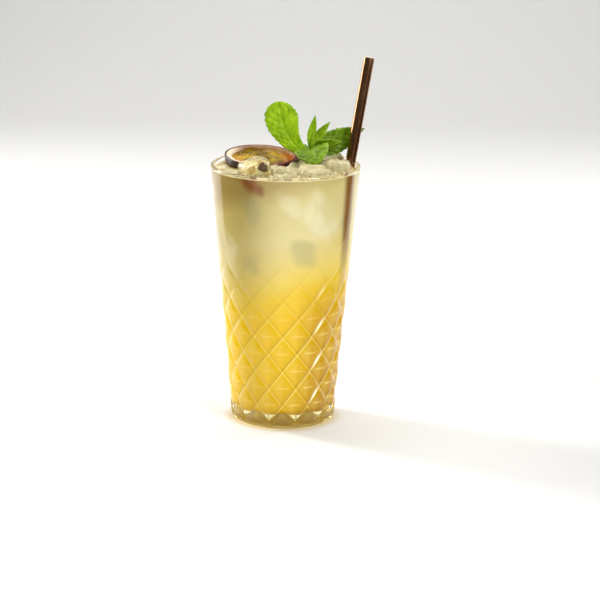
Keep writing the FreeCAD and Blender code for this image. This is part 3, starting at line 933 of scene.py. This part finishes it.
# ------------------------------------------------------------------ straw
@dataclass
class MetalStraw:
    """Straight thin-walled tube standing on the glass's floor and leaning on its lip."""

    glass: PressedTumbler
    diameter: float = 6.0 * MM
    wall: float = 0.5 * MM
    length: float = 205.0 * MM
    clearance: float = 0.1 * MM
    swing: float = 8.0
    foot_share: float = 0.69
    foot_turn: float = 42.0

    def axis(self) -> tuple[np.ndarray, np.ndarray]:
        """Centre of the tube's foot and its unit direction.

        Returns:
            The centre and the direction.
        """
        reach = self.diameter / 2 + self.clearance
        rim_z = self.glass.height - self.glass.lip_round
        rim = self.glass.inner(rim_z) - reach * 1.03
        swing = math.radians(self.swing)
        contact = np.array([rim * math.cos(swing), rim * math.sin(swing), rim_z])
        floor_z = self.glass.floor_height + self.clearance
        share = self.glass.inner(floor_z) * self.foot_share
        turn = math.radians(self.foot_turn)
        foot = np.array([share * math.cos(turn), -share * math.sin(turn), floor_z])
        along = (contact - foot) / np.linalg.norm(contact - foot)
        lift = reach * math.sqrt(1.0 - along[2] ** 2)
        return foot + np.array([0.0, 0.0, lift]), along

    def build(self) -> None:
        """Carry the wall's rounded section along the axis and close both ends."""
        outer = self.diameter / 2
        inner = outer - self.wall
        soft = self.wall * 0.42
        high = self.length
        profile = np.concatenate(
            [
                arc((outer - soft, soft), soft, -90.0, 0.0, 5),
                np.stack([np.full(24, outer), np.linspace(soft, high - soft, 26)[1:-1]], axis=-1),
                arc((outer - soft, high - soft), soft, 0.0, 90.0, 5),
                arc((inner + soft, high - soft), soft, 90.0, 180.0, 5),
                np.stack([np.full(24, inner), np.linspace(high - soft, soft, 26)[1:-1]], axis=-1),
                arc((inner + soft, soft), soft, 180.0, 270.0, 5),
            ]
        )
        around = 64
        rings = turned(profile, around)
        foot, along = self.axis()
        side = np.cross([0.0, 1.0, 0.0], along)
        side /= np.linalg.norm(side)
        rise = np.cross(along, side)
        points = rings[..., :1] * side + rings[..., 1:2] * rise + rings[..., 2:] * along + foot
        rows = len(profile)
        body = ring_faces(rows, around)
        seam = ring_faces(2, around)
        seam = np.where(seam < around, seam + (rows - 1) * around, seam - around)
        finish = RoseCopper().material()
        add_piece("rose_copper_straw", points.reshape(-1, 3), [body, seam], finish, ["straw"])


# ------------------------------------------------------------------ passion fruit
@dataclass
class PassionFruitHalf:
    """Half a passion fruit lying cut side up against the back of the glass."""

    glass: PressedTumbler
    radius: float = 21.0 * MM
    rise: float = 3.0 * MM
    nod: float = 6.0
    roll: float = 1.8
    skin_wall: float = 0.9 * MM
    pith_wall: float = 1.7 * MM
    hollow_shift: float = 1.2 * MM
    pulp_drop: float = 2.0 * MM
    sacs: int = 46
    seed_count: int = 26

    def seat(self) -> np.ndarray:
        """Middle of the cut face.

        Returns:
            The point, in metres.
        """
        room = self.glass.inner(self.glass.height) - self.radius - 1.0 * MM
        turn = math.radians(230.0)
        return np.array([room * math.sin(turn), -room * math.cos(turn), self.glass.height + self.rise])

    def placed(self, points: np.ndarray) -> np.ndarray:
        """Lean the fruit and set it in its place."""
        spin = Matrix.Rotation(math.radians(self.nod), 3, "X") @ Matrix.Rotation(math.radians(self.roll), 3, "Y")
        return points @ np.array(spin).T + self.seat()

    def bowl(self, outer: float, inner: float, shift: float, lip: float, seed: int) -> tuple[np.ndarray, list, dict]:
        """Bowl between two half balls, with a soft uneven lip.

        The profile runs from the bottom up the outside, over the lip and down the inside;
        radii swell by a few hundredths with smooth noise round the fruit.

        Args:
            outer: Outside radius.
            inner: Inside radius.
            shift: How far the inside is moved to the right.
            lip: Rounding of the lip.
            seed: Random seed of the swelling.

        Returns:
            Vertices, faces and point fields.
        """
        around = 144
        top = [
            [outer - lip * 0.15, -lip * 0.25],
            [outer - lip * 0.6, 0.0],
            [inner + lip * 0.6, 0.0],
            [inner + lip * 0.1, -lip * 0.4],
        ]
        outside = arc((0.0, 0.0), outer, -88.0, -3.0, 26)
        rings = turned(np.concatenate([outside, top, arc((0.0, 0.0), inner, -5.0, -88.0, 22)]), around)
        # the lip is at rows 26 to 29
        rows = np.arange(len(rings), dtype=float)
        within = smooth_step(rows, 27.0, 30.0)[:, None]
        rings[..., 0] += shift * within
        ball = rings / np.linalg.norm(rings, axis=-1, keepdims=True) * outer
        swell = 0.010 * soft_noise(ball, outer * 0.8, seed) + 0.004 * soft_noise(ball, outer * 0.25, seed + 1)
        swell = np.minimum(swell, 0.0) if seed == 1 else swell * within
        rings *= 1.0 + swell[..., None]
        shown = smooth_step(rings[..., 0] / outer + 0.35 * rings[..., 1] / outer, -0.95, -0.35)
        rim = np.exp(-(((rows - 27.0) / 1.6) ** 2))[:, None] * shown
        vertices, faces = capped_rings(rings)
        side = vertices[:, 0] / outer
        wet = np.pad(np.repeat(smooth_step(rows, 27.5, 29.5) * 0.95, around), 1) * smooth_step(side, -0.8, -0.35)
        fields = {"rim": np.pad(rim.ravel(), 1), "amber": np.maximum(smooth_step(side, 0.05, 0.75), wet)}
        return vertices, faces, fields

    def pulp(self) -> tuple[np.ndarray, list, dict]:
        """Pulp with a bumpy top.

        The top is a disc of rings whose height is a low dome plus the largest of many
        round sacs at each place.

        Returns:
            Vertices, faces and point fields.
        """
        rng = np.random.default_rng(8)
        around = 132
        inner = self.radius - self.skin_wall - self.pith_wall - 0.05 * MM
        outside = arc((0.0, 0.0), inner, -88.0, -6.0, 14)
        across = np.linspace(0.985, 0.03, 34)[:, None] * inner
        top = np.concatenate([across, np.full_like(across, -self.pulp_drop)], axis=1)
        rings = turned(np.concatenate([outside, top]), around)
        face = rings[len(outside) :]
        turn = rng.uniform(0, 2 * math.pi, self.sacs)
        reach = inner * np.sqrt(rng.uniform(0.0, 0.86, self.sacs))
        sacs = np.stack([reach * np.cos(turn), reach * np.sin(turn)], axis=-1)
        size = rng.uniform(2.2, 3.4, self.sacs) * MM
        far = np.linalg.norm(face[..., None, :2] - sacs, axis=-1) / size
        hump = (np.sqrt(np.clip(1.0 - far ** 2, 0.0, None)) * size * 0.42).max(axis=-1)
        edge = 1.0 - smooth_step(np.hypot(face[..., 0], face[..., 1]) / inner, 0.86, 0.99)
        face[..., 2] += (hump - 1.1 * MM) * edge
        rings[..., 0] += self.hollow_shift
        vertices, faces = capped_rings(rings)
        side = np.abs(vertices[:, 0] - 0.001) / inner
        fields = {"amber": smooth_step(side, 0.45, 0.95) * smooth_step(vertices[:, 0] / inner, -1.4, 0.6)}
        return vertices, faces, fields

    def seeds(self) -> tuple[np.ndarray, list]:
        """Flat oval seeds just under the top of the pulp.

        Returns:
            Vertices and faces of them all.
        """
        rng = np.random.default_rng(21)
        height = -self.pulp_drop - 0.95 * MM
        parts = []
        for _ in range(self.seed_count):
            turn = rng.uniform(0, 2 * math.pi)
            reach = 0.016 * math.sqrt(rng.uniform(0.02, 0.72))
            middle = np.array([reach * math.cos(turn) + 0.9 * MM, reach * math.sin(turn), height])
            half = np.array([2.4, 1.7, 1.0]) * MM * rng.uniform(0.8, 1.05)
            lay = (rng.uniform(-180, 180), *rng.uniform(-14, 14, size=2))
            parts.append(IceLump(middle, half, lay, 7, 2.1).shape(9))
        return joined(parts)

    def build(self) -> None:
        """Make the rind, the pith, the pulp and the seeds."""
        pith = self.radius - self.skin_wall
        hollow = pith - self.pith_wall
        for name, shape, finish in (
            ("skin", self.bowl(self.radius, pith + 0.02 * MM, 0.0, 0.5 * MM, 1), PassionSkin()),
            ("pith", self.bowl(pith, hollow, self.hollow_shift, 1.1 * MM, 2), PassionPith()),
            ("pulp", self.pulp(), PassionPulp()),
        ):
            vertices, faces, fields = shape
            node = "fruit_" + name
            add_piece("passion_" + name, self.placed(vertices), faces, finish.material(), [node], fields)
        vertices, faces = self.seeds()
        add_piece("passion_seeds", self.placed(vertices), faces, PassionSeed().material())


# ------------------------------------------------------------------ mint
class Outline(Enum):
    """Half width along a leaf: shares of the length, then shares of the widest."""

    SPOON = (
        (0.0, 0.12, 0.25, 0.40, 0.55, 0.68, 0.78, 0.87, 0.94, 0.98, 1.0),
        (0.16, 0.34, 0.48, 0.64, 0.82, 0.96, 1.0, 0.92, 0.70, 0.46, 0.12),
    )
    BROAD = (
        (0.0, 0.10, 0.25, 0.42, 0.60, 0.78, 0.90, 0.97, 1.0),
        (0.26, 0.60, 0.90, 1.0, 0.97, 0.82, 0.56, 0.28, 0.06),
    )
    POINTED = (
        (0.0, 0.12, 0.28, 0.42, 0.60, 0.80, 0.93, 1.0),
        (0.16, 0.50, 0.88, 1.0, 0.90, 0.56, 0.22, 0.03),
    )


@dataclass
class LeafPlan:
    """Shape of one mint leaf, in mm from the sprig's node.

    The fold is in degrees, rib holds the midrib's four control points, lay is the
    direction across the blade, and young runs from 0 to 1.
    """

    name: str
    outline: Outline
    teeth: int
    half_width: float
    fold: float
    rib: tuple
    lay: tuple[float, float, float]
    young: float


@dataclass
class MintSprig:
    """Sprig of mint: a square stem and toothed, quilted leaves."""

    glass: PressedTumbler
    thickness: float = 0.7 * MM
    edge: float = 0.35 * MM
    stem_width: float = 2.6 * MM
    stem_length: float = 26.0 * MM
    plans: tuple = (
        LeafPlan(
            "tall", Outline.SPOON, 12, 9.9, 10.0,
            ((-1.0, 0.6, -0.4), (-10.0, 2.0, 2.8), (-15.6, 5.0, 13.4), (-17.0, 3.0, 28.5)),
            (0.90, -0.12, 0.35), 0.95,
        ),
        LeafPlan(
            "bud_left", Outline.POINTED, 7, 2.9, 26.0,
            ((1.3, 0.6, 0.8), (1.6, 2.4, 7.0), (2.6, 4.0, 14.0), (4.0, 3.2, 20.8)),
            (0.96, -0.25, -0.10), 0.75,
        ),
        LeafPlan(
            "bud_right", Outline.POINTED, 7, 3.0, 24.0,
            ((1.9, -0.3, 0.4), (4.2, -0.2, 7.0), (8.0, 0.2, 13.0), (12.4, -0.4, 17.6)),
            (0.86, -0.25, -0.44), 0.55,
        ),
        LeafPlan(
            "front", Outline.BROAD, 10, 10.2, 15.0,
            ((0.6, -1.7, 0.0), (1.4, -8.5, 4.6), (3.0, -16.0, 3.2), (4.2, -22.6, -3.0)),
            (0.95, 0.10, 0.28), 0.35,
        ),
        LeafPlan(
            "side", Outline.POINTED, 8, 6.6, 18.0,
            ((1.9, -1.0, -0.6), (7.5, -5.0, 2.6), (12.5, -7.0, 5.0), (18.6, -8.0, 7.6)),
            (-0.22, -0.62, 0.75), 0.4,
        ),
        LeafPlan(
            "right", Outline.POINTED, 10, 7.4, 14.0,
            ((2.0, 1.2, -0.4), (11.0, 6.0, 2.8), (21.0, 10.0, 7.6), (32.4, 11.5, 12.0)),
            (-0.34, 0.10, 0.93), 0.3,
        ),
        LeafPlan(
            "back", Outline.POINTED, 9, 8.0, 16.0,
            ((0.0, 1.8, -0.6), (0.6, 9.0, 1.8), (0.0, 17.0, 0.6), (-1.0, 24.0, -1.8)),
            (-0.97, 0.0, 0.10), 0.3,
        ),
    )

    def node(self) -> np.ndarray:
        """Point on the stem from which the leaves spring."""
        rim = self.glass.rim_radius
        return np.array([0.33 * rim - 1.4 * MM, 0.09 * rim, self.glass.height + 6.4 * MM])

    def leaf(self, plan: LeafPlan) -> tuple[np.ndarray, list[np.ndarray], dict[str, np.ndarray]]:
        """Surface of one leaf, both sides.

        The midrib is a cubic curve. Across it the blade rises on both sides like a
        shallow V, its half width is the outline times a saw of teeth, and it is quilted:
        between side veins that run forward from the midrib it puffs up by a sine.

        Args:
            plan: The leaf.

        Returns:
            Vertices, faces and point fields.
        """
        rows, cols = 97, 41
        u = np.linspace(0.0, 1.0, rows)[:, None]
        v = np.linspace(-1.0, 1.0, cols)[None, :]
        a, b, c, d = (np.array(p) * MM for p in plan.rib)
        s = 1.0 - u
        spot = a * s ** 3 + b * (3 * s * s * u) + c * (3 * s * u * u) + d * u ** 3
        way = (b - a) * (s * s) + (c - b) * (2 * s * u) + (d - c) * (u * u)
        way /= np.linalg.norm(way, axis=1, keepdims=True)
        lay = np.array(plan.lay)
        side = lay - way * (way @ lay)[:, None]
        side /= np.linalg.norm(side, axis=1, keepdims=True)
        normal = np.cross(way, side)
        flip = np.where(normal @ np.array([0.0, -0.6, 0.8]) < 0, -1.0, 1.0)[:, None]
        normal = normal * flip
        saw = np.mod((u - 0.10) / 0.86 * plan.teeth, 1.0)
        tooth = np.where((u > 0.08) & (u < 0.97), saw / 0.75 - 3.9 * np.clip(saw - 0.75, 0, 1), 0.4)
        bite = 1.0 + 0.07 * (tooth - 0.55) * smooth_step(np.abs(v), 0.72, 1.0)
        half = np.maximum(np.interp(u, *plan.outline.value) * plan.half_width * MM, 0.3 * MM)
        out = half * v * bite
        lift = math.radians(plan.fold)
        rise = np.abs(out) * math.sin(lift) * (1.0 - 0.35 * np.abs(v))
        lane = plan.teeth * 0.62 * (u - 0.30 * np.abs(v) ** 0.9 * (1.0 - 0.3 * u)) * 1.25
        puff = np.abs(np.sin(math.pi * lane)) ** 0.7
        body = (1.0 - smooth_step(np.abs(v), 0.80, 1.0)) * smooth_step(np.abs(v), 0.02, 0.16)
        fine = soft_noise(np.stack([u * 30 + 0 * v, v * 11 + 0 * u, 0 * u * v], axis=-1), 2.6, len(plan.name))
        scale = plan.half_width * MM
        quilt = (0.042 * puff + 0.016 * fine) * scale * body * np.minimum(half / scale * 1.6, 1.0)
        wavy = 0.045 * scale * np.sin(2 * math.pi * plan.teeth * 0.31 * u + plan.teeth) * np.abs(v) ** 2
        thick = self.edge / 2 + (self.thickness - self.edge) / 2 * (1.0 - np.abs(v))
        centre = spot[:, None] + side[:, None] * (out * math.cos(lift))[..., None]
        midrib = np.exp(-((v / 0.06) ** 2))
        centre = centre + normal[:, None] * (rise + quilt + wavy - 0.03 * scale * midrib)[..., None]
        over = centre + normal[:, None] * thick[..., None]
        under = centre - normal[:, None] * thick[..., None]
        vertices = np.concatenate([over.reshape(-1, 3), under.reshape(-1, 3)]) + self.node()
        count = rows * cols
        rim = self.border(rows, cols)
        walls = np.stack([rim, np.roll(rim, -1), np.roll(rim, -1) + count, rim + count], axis=-1)[:, ::-1]
        faces = [sheet_faces(rows, cols), sheet_faces(rows, cols, count)[:, ::-1], walls]
        if float(np.dot(np.cross(side[0], way[0]), normal[0])) > 0:
            faces = [f[:, ::-1] for f in faces]
        veins = np.exp(-(((np.mod(lane + 0.5, 1.0) - 0.5) / 0.10) ** 2)) * (np.abs(v) < 0.93)
        fields = {
            "vein": np.maximum(veins, midrib),
            "edge": smooth_step(np.abs(v), 0.90, 1.0) + 0 * u,
            "young": plan.young + 0.12 * (v + 0 * u),
        }
        return vertices, faces, {key: np.tile(values.ravel(), 2) for key, values in fields.items()}

    @staticmethod
    def border(rows: int, cols: int) -> np.ndarray:
        """Indices round the edge of a grid, in order."""
        index = np.arange(rows * cols).reshape(rows, cols)
        return np.concatenate([index[0, :-1], index[:-1, -1], index[-1, :0:-1], index[:0:-1, 0]])

    def stem(self) -> tuple[np.ndarray, list[np.ndarray], dict[str, np.ndarray]]:
        """Square stem with grooved sides, ending in a small bud.

        Returns:
            Vertices, faces and point fields.
        """
        around, rows = 32, 30
        angle = np.arange(around) * 2 * math.pi / around
        square = 1.0 / (np.abs(np.cos(angle)) ** 3 + np.abs(np.sin(angle)) ** 3) ** (1 / 3) * 0.86
        share = np.linspace(0.0, 1.0, rows)
        lean = np.array(Vector((0, 0, 1)).rotation_difference(Vector((0.06, 0.05, 1.0))).to_matrix())
        along = lean @ np.array([0.0, 0.0, 1.0])
        low = self.node() - along * (self.stem_length - 1.6 * MM)
        # the bud swells near the top, then closes
        width = 1.0 + 0.55 * np.exp(-(((share - 0.93) / 0.05) ** 2)) - 0.55 * smooth_step(share, 0.96, 1.0)
        width *= self.stem_width / 2
        ring = np.stack([square * np.cos(angle), square * np.sin(angle), 0 * angle], axis=-1)
        points = ring[None] * width[:, None, None] + np.array([0, 0, 1.0]) * (share * self.stem_length)[:, None, None]
        vertices, faces = capped_rings(points @ lean.T + low)
        ones = np.ones(len(vertices))
        return vertices, faces, {"vein": 0.3 * ones, "edge": 0 * ones, "young": 0.6 * ones}

    def build(self) -> None:
        """Make the stem and the leaves; together they stand for the CAD's sprig."""
        finish = MintLeaf().material()
        vertices, faces, fields = self.stem()
        add_piece("mint_stem", vertices, faces, finish, ["mint_sprig"], fields)
        for plan in self.plans:
            vertices, faces, fields = self.leaf(plan)
            add_piece("mint_leaf_" + plan.name, vertices, faces, finish, ["mint_sprig"], fields)


# ------------------------------------------------------------------ drink
@dataclass
class CloudyDrink:
    """The juice up to its level; it reaches just into the wall so that no air shows."""

    glass: PressedTumbler
    drop: float = 2.2 * MM
    bite: float = 0.12 * MM

    # what lies behind the wall: degrees from the front towards +X, height in mm,
    # half width in degrees, half height in mm, strength
    grey: tuple = (
        (-29.0, 131.0, 11.0, 9.0, 0.85),
        (-30.0, 99.0, 10.0, 7.0, 0.65),
        (17.0, 106.0, 15.0, 8.0, 0.85),
        (62.0, 122.0, 12.0, 10.0, 0.6),
        (105.0, 104.0, 14.0, 9.0, 0.7),
        (138.0, 130.0, 12.0, 8.0, 0.7),
        (172.0, 112.0, 14.0, 10.0, 0.7),
        (-148.0, 98.0, 12.0, 8.0, 0.6),
        (-118.0, 127.0, 13.0, 10.0, 0.75),
        (-78.0, 112.0, 12.0, 9.0, 0.6),
    )
    skin: tuple = ((-30.0, 145.5, 9.0, 5.2, 0.85), (-21.0, 142.5, 4.5, 3.6, 0.75))
    white: tuple = (
        (30.0, 126.0, 17.0, 13.0, 1.0),
        (4.0, 134.0, 12.0, 8.0, 0.7),
        (88.0, 132.0, 14.0, 10.0, 0.9),
        (150.0, 105.0, 14.0, 10.0, 0.8),
        (-95.0, 140.0, 14.0, 8.0, 0.8),
        (-55.0, 104.0, 10.0, 12.0, 0.5),
    )

    @staticmethod
    def patches(turn: np.ndarray, height: np.ndarray, spots: Sequence[tuple], seed: int) -> np.ndarray:
        """Rounded, ragged patches on the wall.

        Args:
            turn: Degrees from the front towards +X.
            height: Height in metres.
            spots: Centre, half sizes and strength of each patch.
            seed: Random seed of the ragged edge.

        Returns:
            The strongest patch at each point, 0 to 1.
        """
        angle = np.radians(turn)
        place = np.stack([0.04 * np.sin(angle), -0.04 * np.cos(angle), height], axis=-1)
        ragged = 0.16 * soft_noise(place, 14.0 * MM, seed)
        total = np.zeros(len(turn))
        for middle, level, wide, tall, strength in spots:
            across = (np.mod(turn - middle + 180.0, 360.0) - 180.0) / wide
            up = (height / MM - level) / tall
            # a lump's outline is between a box and an oval
            far = (np.abs(across) ** 2.6 + np.abs(up + 0.35 * across) ** 2.6) ** (1 / 2.6) + ragged
            total = np.maximum(total, strength * (1.0 - smooth_step(far, 0.25, 1.25)))
        return total

    def fields(self, points: np.ndarray) -> dict[str, np.ndarray]:
        """What shows through the juice on its wall, and painted shade on it.

        Args:
            points: (N, 3) surface points.

        Returns:
            Point fields for sunk ice, fruit, straw, melt water, painted shade of the sides, and cuts.
        """
        turn = np.degrees(np.arctan2(points[:, 0], -points[:, 1]))
        height = points[:, 2]
        right = points[:, 0] / self.glass.rim_radius
        centre = np.interp(height / MM, [80.0, 149.0], [67.0, 61.0])
        tube = np.exp(-(((turn - centre) / 7.0) ** 4)) * smooth_step(height, 0.070, 0.125)
        step = 0.5 * MM
        rise = self.glass.soft_relief(turn, height + step) - self.glass.soft_relief(turn, height - step)
        return {
            "ice": self.patches(turn, height, self.grey, 4) * 0.6,
            "fruit": self.patches(turn, height, self.skin, 6),
            "milk": self.patches(turn, height, self.white, 8),
            "straw": tube * 0.95,
            # painted shade: the left side from 40 mm up, and the right side below about 90 mm
            "side": smooth_step(-right, -0.05, 0.6) * smooth_step(height, 0.04, 0.11),
            "amber": smooth_step(right, 0.05, 0.5) * (1.0 - smooth_step(height, 0.062, 0.096)),
            "lean": -0.012 * right,
            "lit": np.clip(rise / (0.26 * MM), -1.0, 1.0),
        }

    def build(self) -> None:
        """Make the body of the juice and its free surface."""
        glass = self.glass
        level = glass.height - self.drop
        low = glass.floor_height - self.bite
        reach = glass.floor_round
        corner_x = glass.inner(glass.floor_height + reach) + self.bite - reach
        corner = arc((corner_x, low + reach), reach, -90.0, 0.0, 9)
        rise = np.linspace(corner[-1, 1], level, 186)[1:]
        wall = np.stack([glass.inner(rise) + self.bite, rise], axis=-1)
        floor = np.stack([corner[0, 0] * np.array([0.35, 0.7]), np.full(2, low)], axis=-1)
        lid = np.array([[glass.inner(level) - 0.2 * MM, level + 0.35 * MM]])
        inwards = glass.inner(level) * np.linspace(0.985, 0.06, 30)
        top = np.stack([inwards, np.full(30, level)], axis=-1)
        rings = turned(np.concatenate([floor, corner, wall, lid, top]), 384)
        ripple = rings[-len(top) :]
        ripple[..., 2] += 0.18 * MM * soft_noise(ripple, 9.0 * MM, 3)
        vertices, faces = capped_rings(rings)
        finish = CloudyJuice(glass).material()
        piece = add_piece("mango_juice", vertices, faces, finish, ["drink"], self.fields(vertices))
        piece.data.materials.append(JuiceTop().material())
        centre = np.zeros(len(piece.data.polygons) * 3)
        piece.data.polygons.foreach_get("center", centre)
        centre = centre.reshape(-1, 3)
        wet = (centre[:, 2] > level - 0.1 * MM) & (np.hypot(centre[:, 0], centre[:, 1]) < glass.inner(level))
        piece.data.polygons.foreach_set("material_index", wet.astype(np.int32))


# ------------------------------------------------------------------ studio
@dataclass
class Studio:
    """Pale floor and backdrop, soft lamps and the camera."""

    focal: float = 127.9
    distance: float = 1.2
    rise: float = 0.379
    aim: float = 0.075

    def backdrop(self) -> None:
        """Floor that curves up into a wall behind the drink."""
        bend = arc((1.0, 0.55), 0.55, -90.0, 0.0, 16)
        run = np.concatenate([[[-2.6, 0.0]], bend, [[1.55, 3.2]]])
        wide = (-3.0, 3.0)
        points = [(x, y, z) for y, z in run for x in wide]
        floor = self.prop("studio_floor", points, sheet_faces(len(run), 2).tolist(), StudioPaper().material())
        floor.data.polygons.foreach_set("use_smooth", np.ones(len(floor.data.polygons), dtype=bool))

    @staticmethod
    def prop(name: str, corners: Sequence, faces: Sequence, finish: bpy.types.Material) -> bpy.types.Object:
        """Mesh of the studio, not fixed to the drink.

        Args:
            name: Name of the object.
            corners: Its vertices.
            faces: Corner indices of its faces.
            finish: Its material.

        Returns:
            The new object.
        """
        mesh = bpy.data.meshes.new(name)
        mesh.from_pydata(corners, [], faces)
        mesh.materials.append(finish)
        prop = bpy.data.objects.new(name, mesh)
        bpy.context.scene.collection.objects.link(prop)
        return prop

    @staticmethod
    def lamp(
        name: str, place: Sequence[float], size: tuple[float, float], power: float, mirrored: bool = True
    ) -> None:
        """Soft box that faces the drink.

        Args:
            name: Name of the lamp.
            place: Where it hangs.
            size: Width and height.
            power: Watts.
            mirrored: Whether glass and metal show it.
        """
        data = bpy.data.lights.new(name, "AREA")
        data.shape = "RECTANGLE"
        data.size, data.size_y = size
        data.energy = power
        lamp = bpy.data.objects.new(name, data)
        lamp.visible_glossy = mirrored
        lamp.location = place
        lamp.rotation_euler = (Vector((0.0, 0.0, 0.1)) - Vector(place)).to_track_quat("-Z", "Y").to_euler()
        bpy.context.scene.collection.objects.link(lamp)

    def card(self, name: str, side: float, reach: tuple[float, float], height: float, colour: str) -> None:
        """Upright dark card beside the drink, unseen itself: glass and metal mirror its edge.

        Args:
            name: Name of the card.
            side: Its distance from the drink along X.
            reach: Its two ends along Y.
            height: Its height.
            colour: Its colour.
        """
        corners = [(side, reach[0], 0.0), (side, reach[1], 0.0), (side, reach[1], height), (side, reach[0], height)]
        self.prop(name, corners, [(0, 1, 2, 3)], StudioPaper(colour).material()).visible_camera = False

    def build(self) -> None:
        """Set up the stage, the lamps, the world and the camera."""
        self.backdrop()
        self.lamp("key", (0.95, -0.95, 1.0), (0.5, 0.9), 20.0)
        self.lamp("strip_left", (-0.72, 0.42, 0.45), (0.14, 0.9), 9.0)
        self.lamp("strip_right", (0.75, 0.5, 0.45), (0.08, 0.9), 3.5)
        self.lamp("fill_left", (-0.9, -1.0, 0.75), (0.9, 0.9), 9.0, mirrored=False)
        self.lamp("top", (-0.1, 0.35, 1.5), (1.1, 0.9), 13.5)
        self.card("card_left", -0.33, (-0.30, 0.16), 0.15, "#75736C")
        self.card("card_right", 0.33, (-0.40, 0.20), 0.18, "#373532")
        world = bpy.data.worlds.new("studio_air")
        world.use_nodes = True
        air = world.node_tree.nodes["Background"]
        air.inputs["Color"].default_value = linear("#C9CCD0")
        air.inputs["Strength"].default_value = 0.16
        scene = bpy.context.scene
        scene.world = world
        scene.view_settings.view_transform = "Standard"
        data = bpy.data.cameras.new("camera")
        data.lens = self.focal
        data.sensor_width = 36.0
        data.shift_x = 0.0265
        data.shift_y = -0.015
        camera = bpy.data.objects.new("camera", data)
        place = Vector((0.0, -self.distance, self.rise))
        look = (Vector((0.0, 0.0, self.aim)) - place).to_track_quat("-Z", "Y")
        camera.location = place
        camera.rotation_euler = (look.to_matrix() @ Matrix.Rotation(math.radians(0.7), 3, "Z")).to_euler()
        scene.collection.objects.link(camera)
        scene.camera = camera


def main() -> None:
    """Build the studio and every piece of the drink."""
    logging.basicConfig(level=logging.INFO, format="%(message)s")
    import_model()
    Studio().build()
    glass = PressedTumbler()
    drop = CloudyDrink.drop
    heap = IceHeap(glass, glass.height - drop)
    straw = MetalStraw(glass)
    fruit = PassionFruitHalf(glass)
    for part in (glass, CloudyDrink(glass), heap, straw, fruit, MintSprig(glass)):
        LOG.info("building %s", type(part).__name__)
        part.build()


if __name__ == "__main__":
    main()
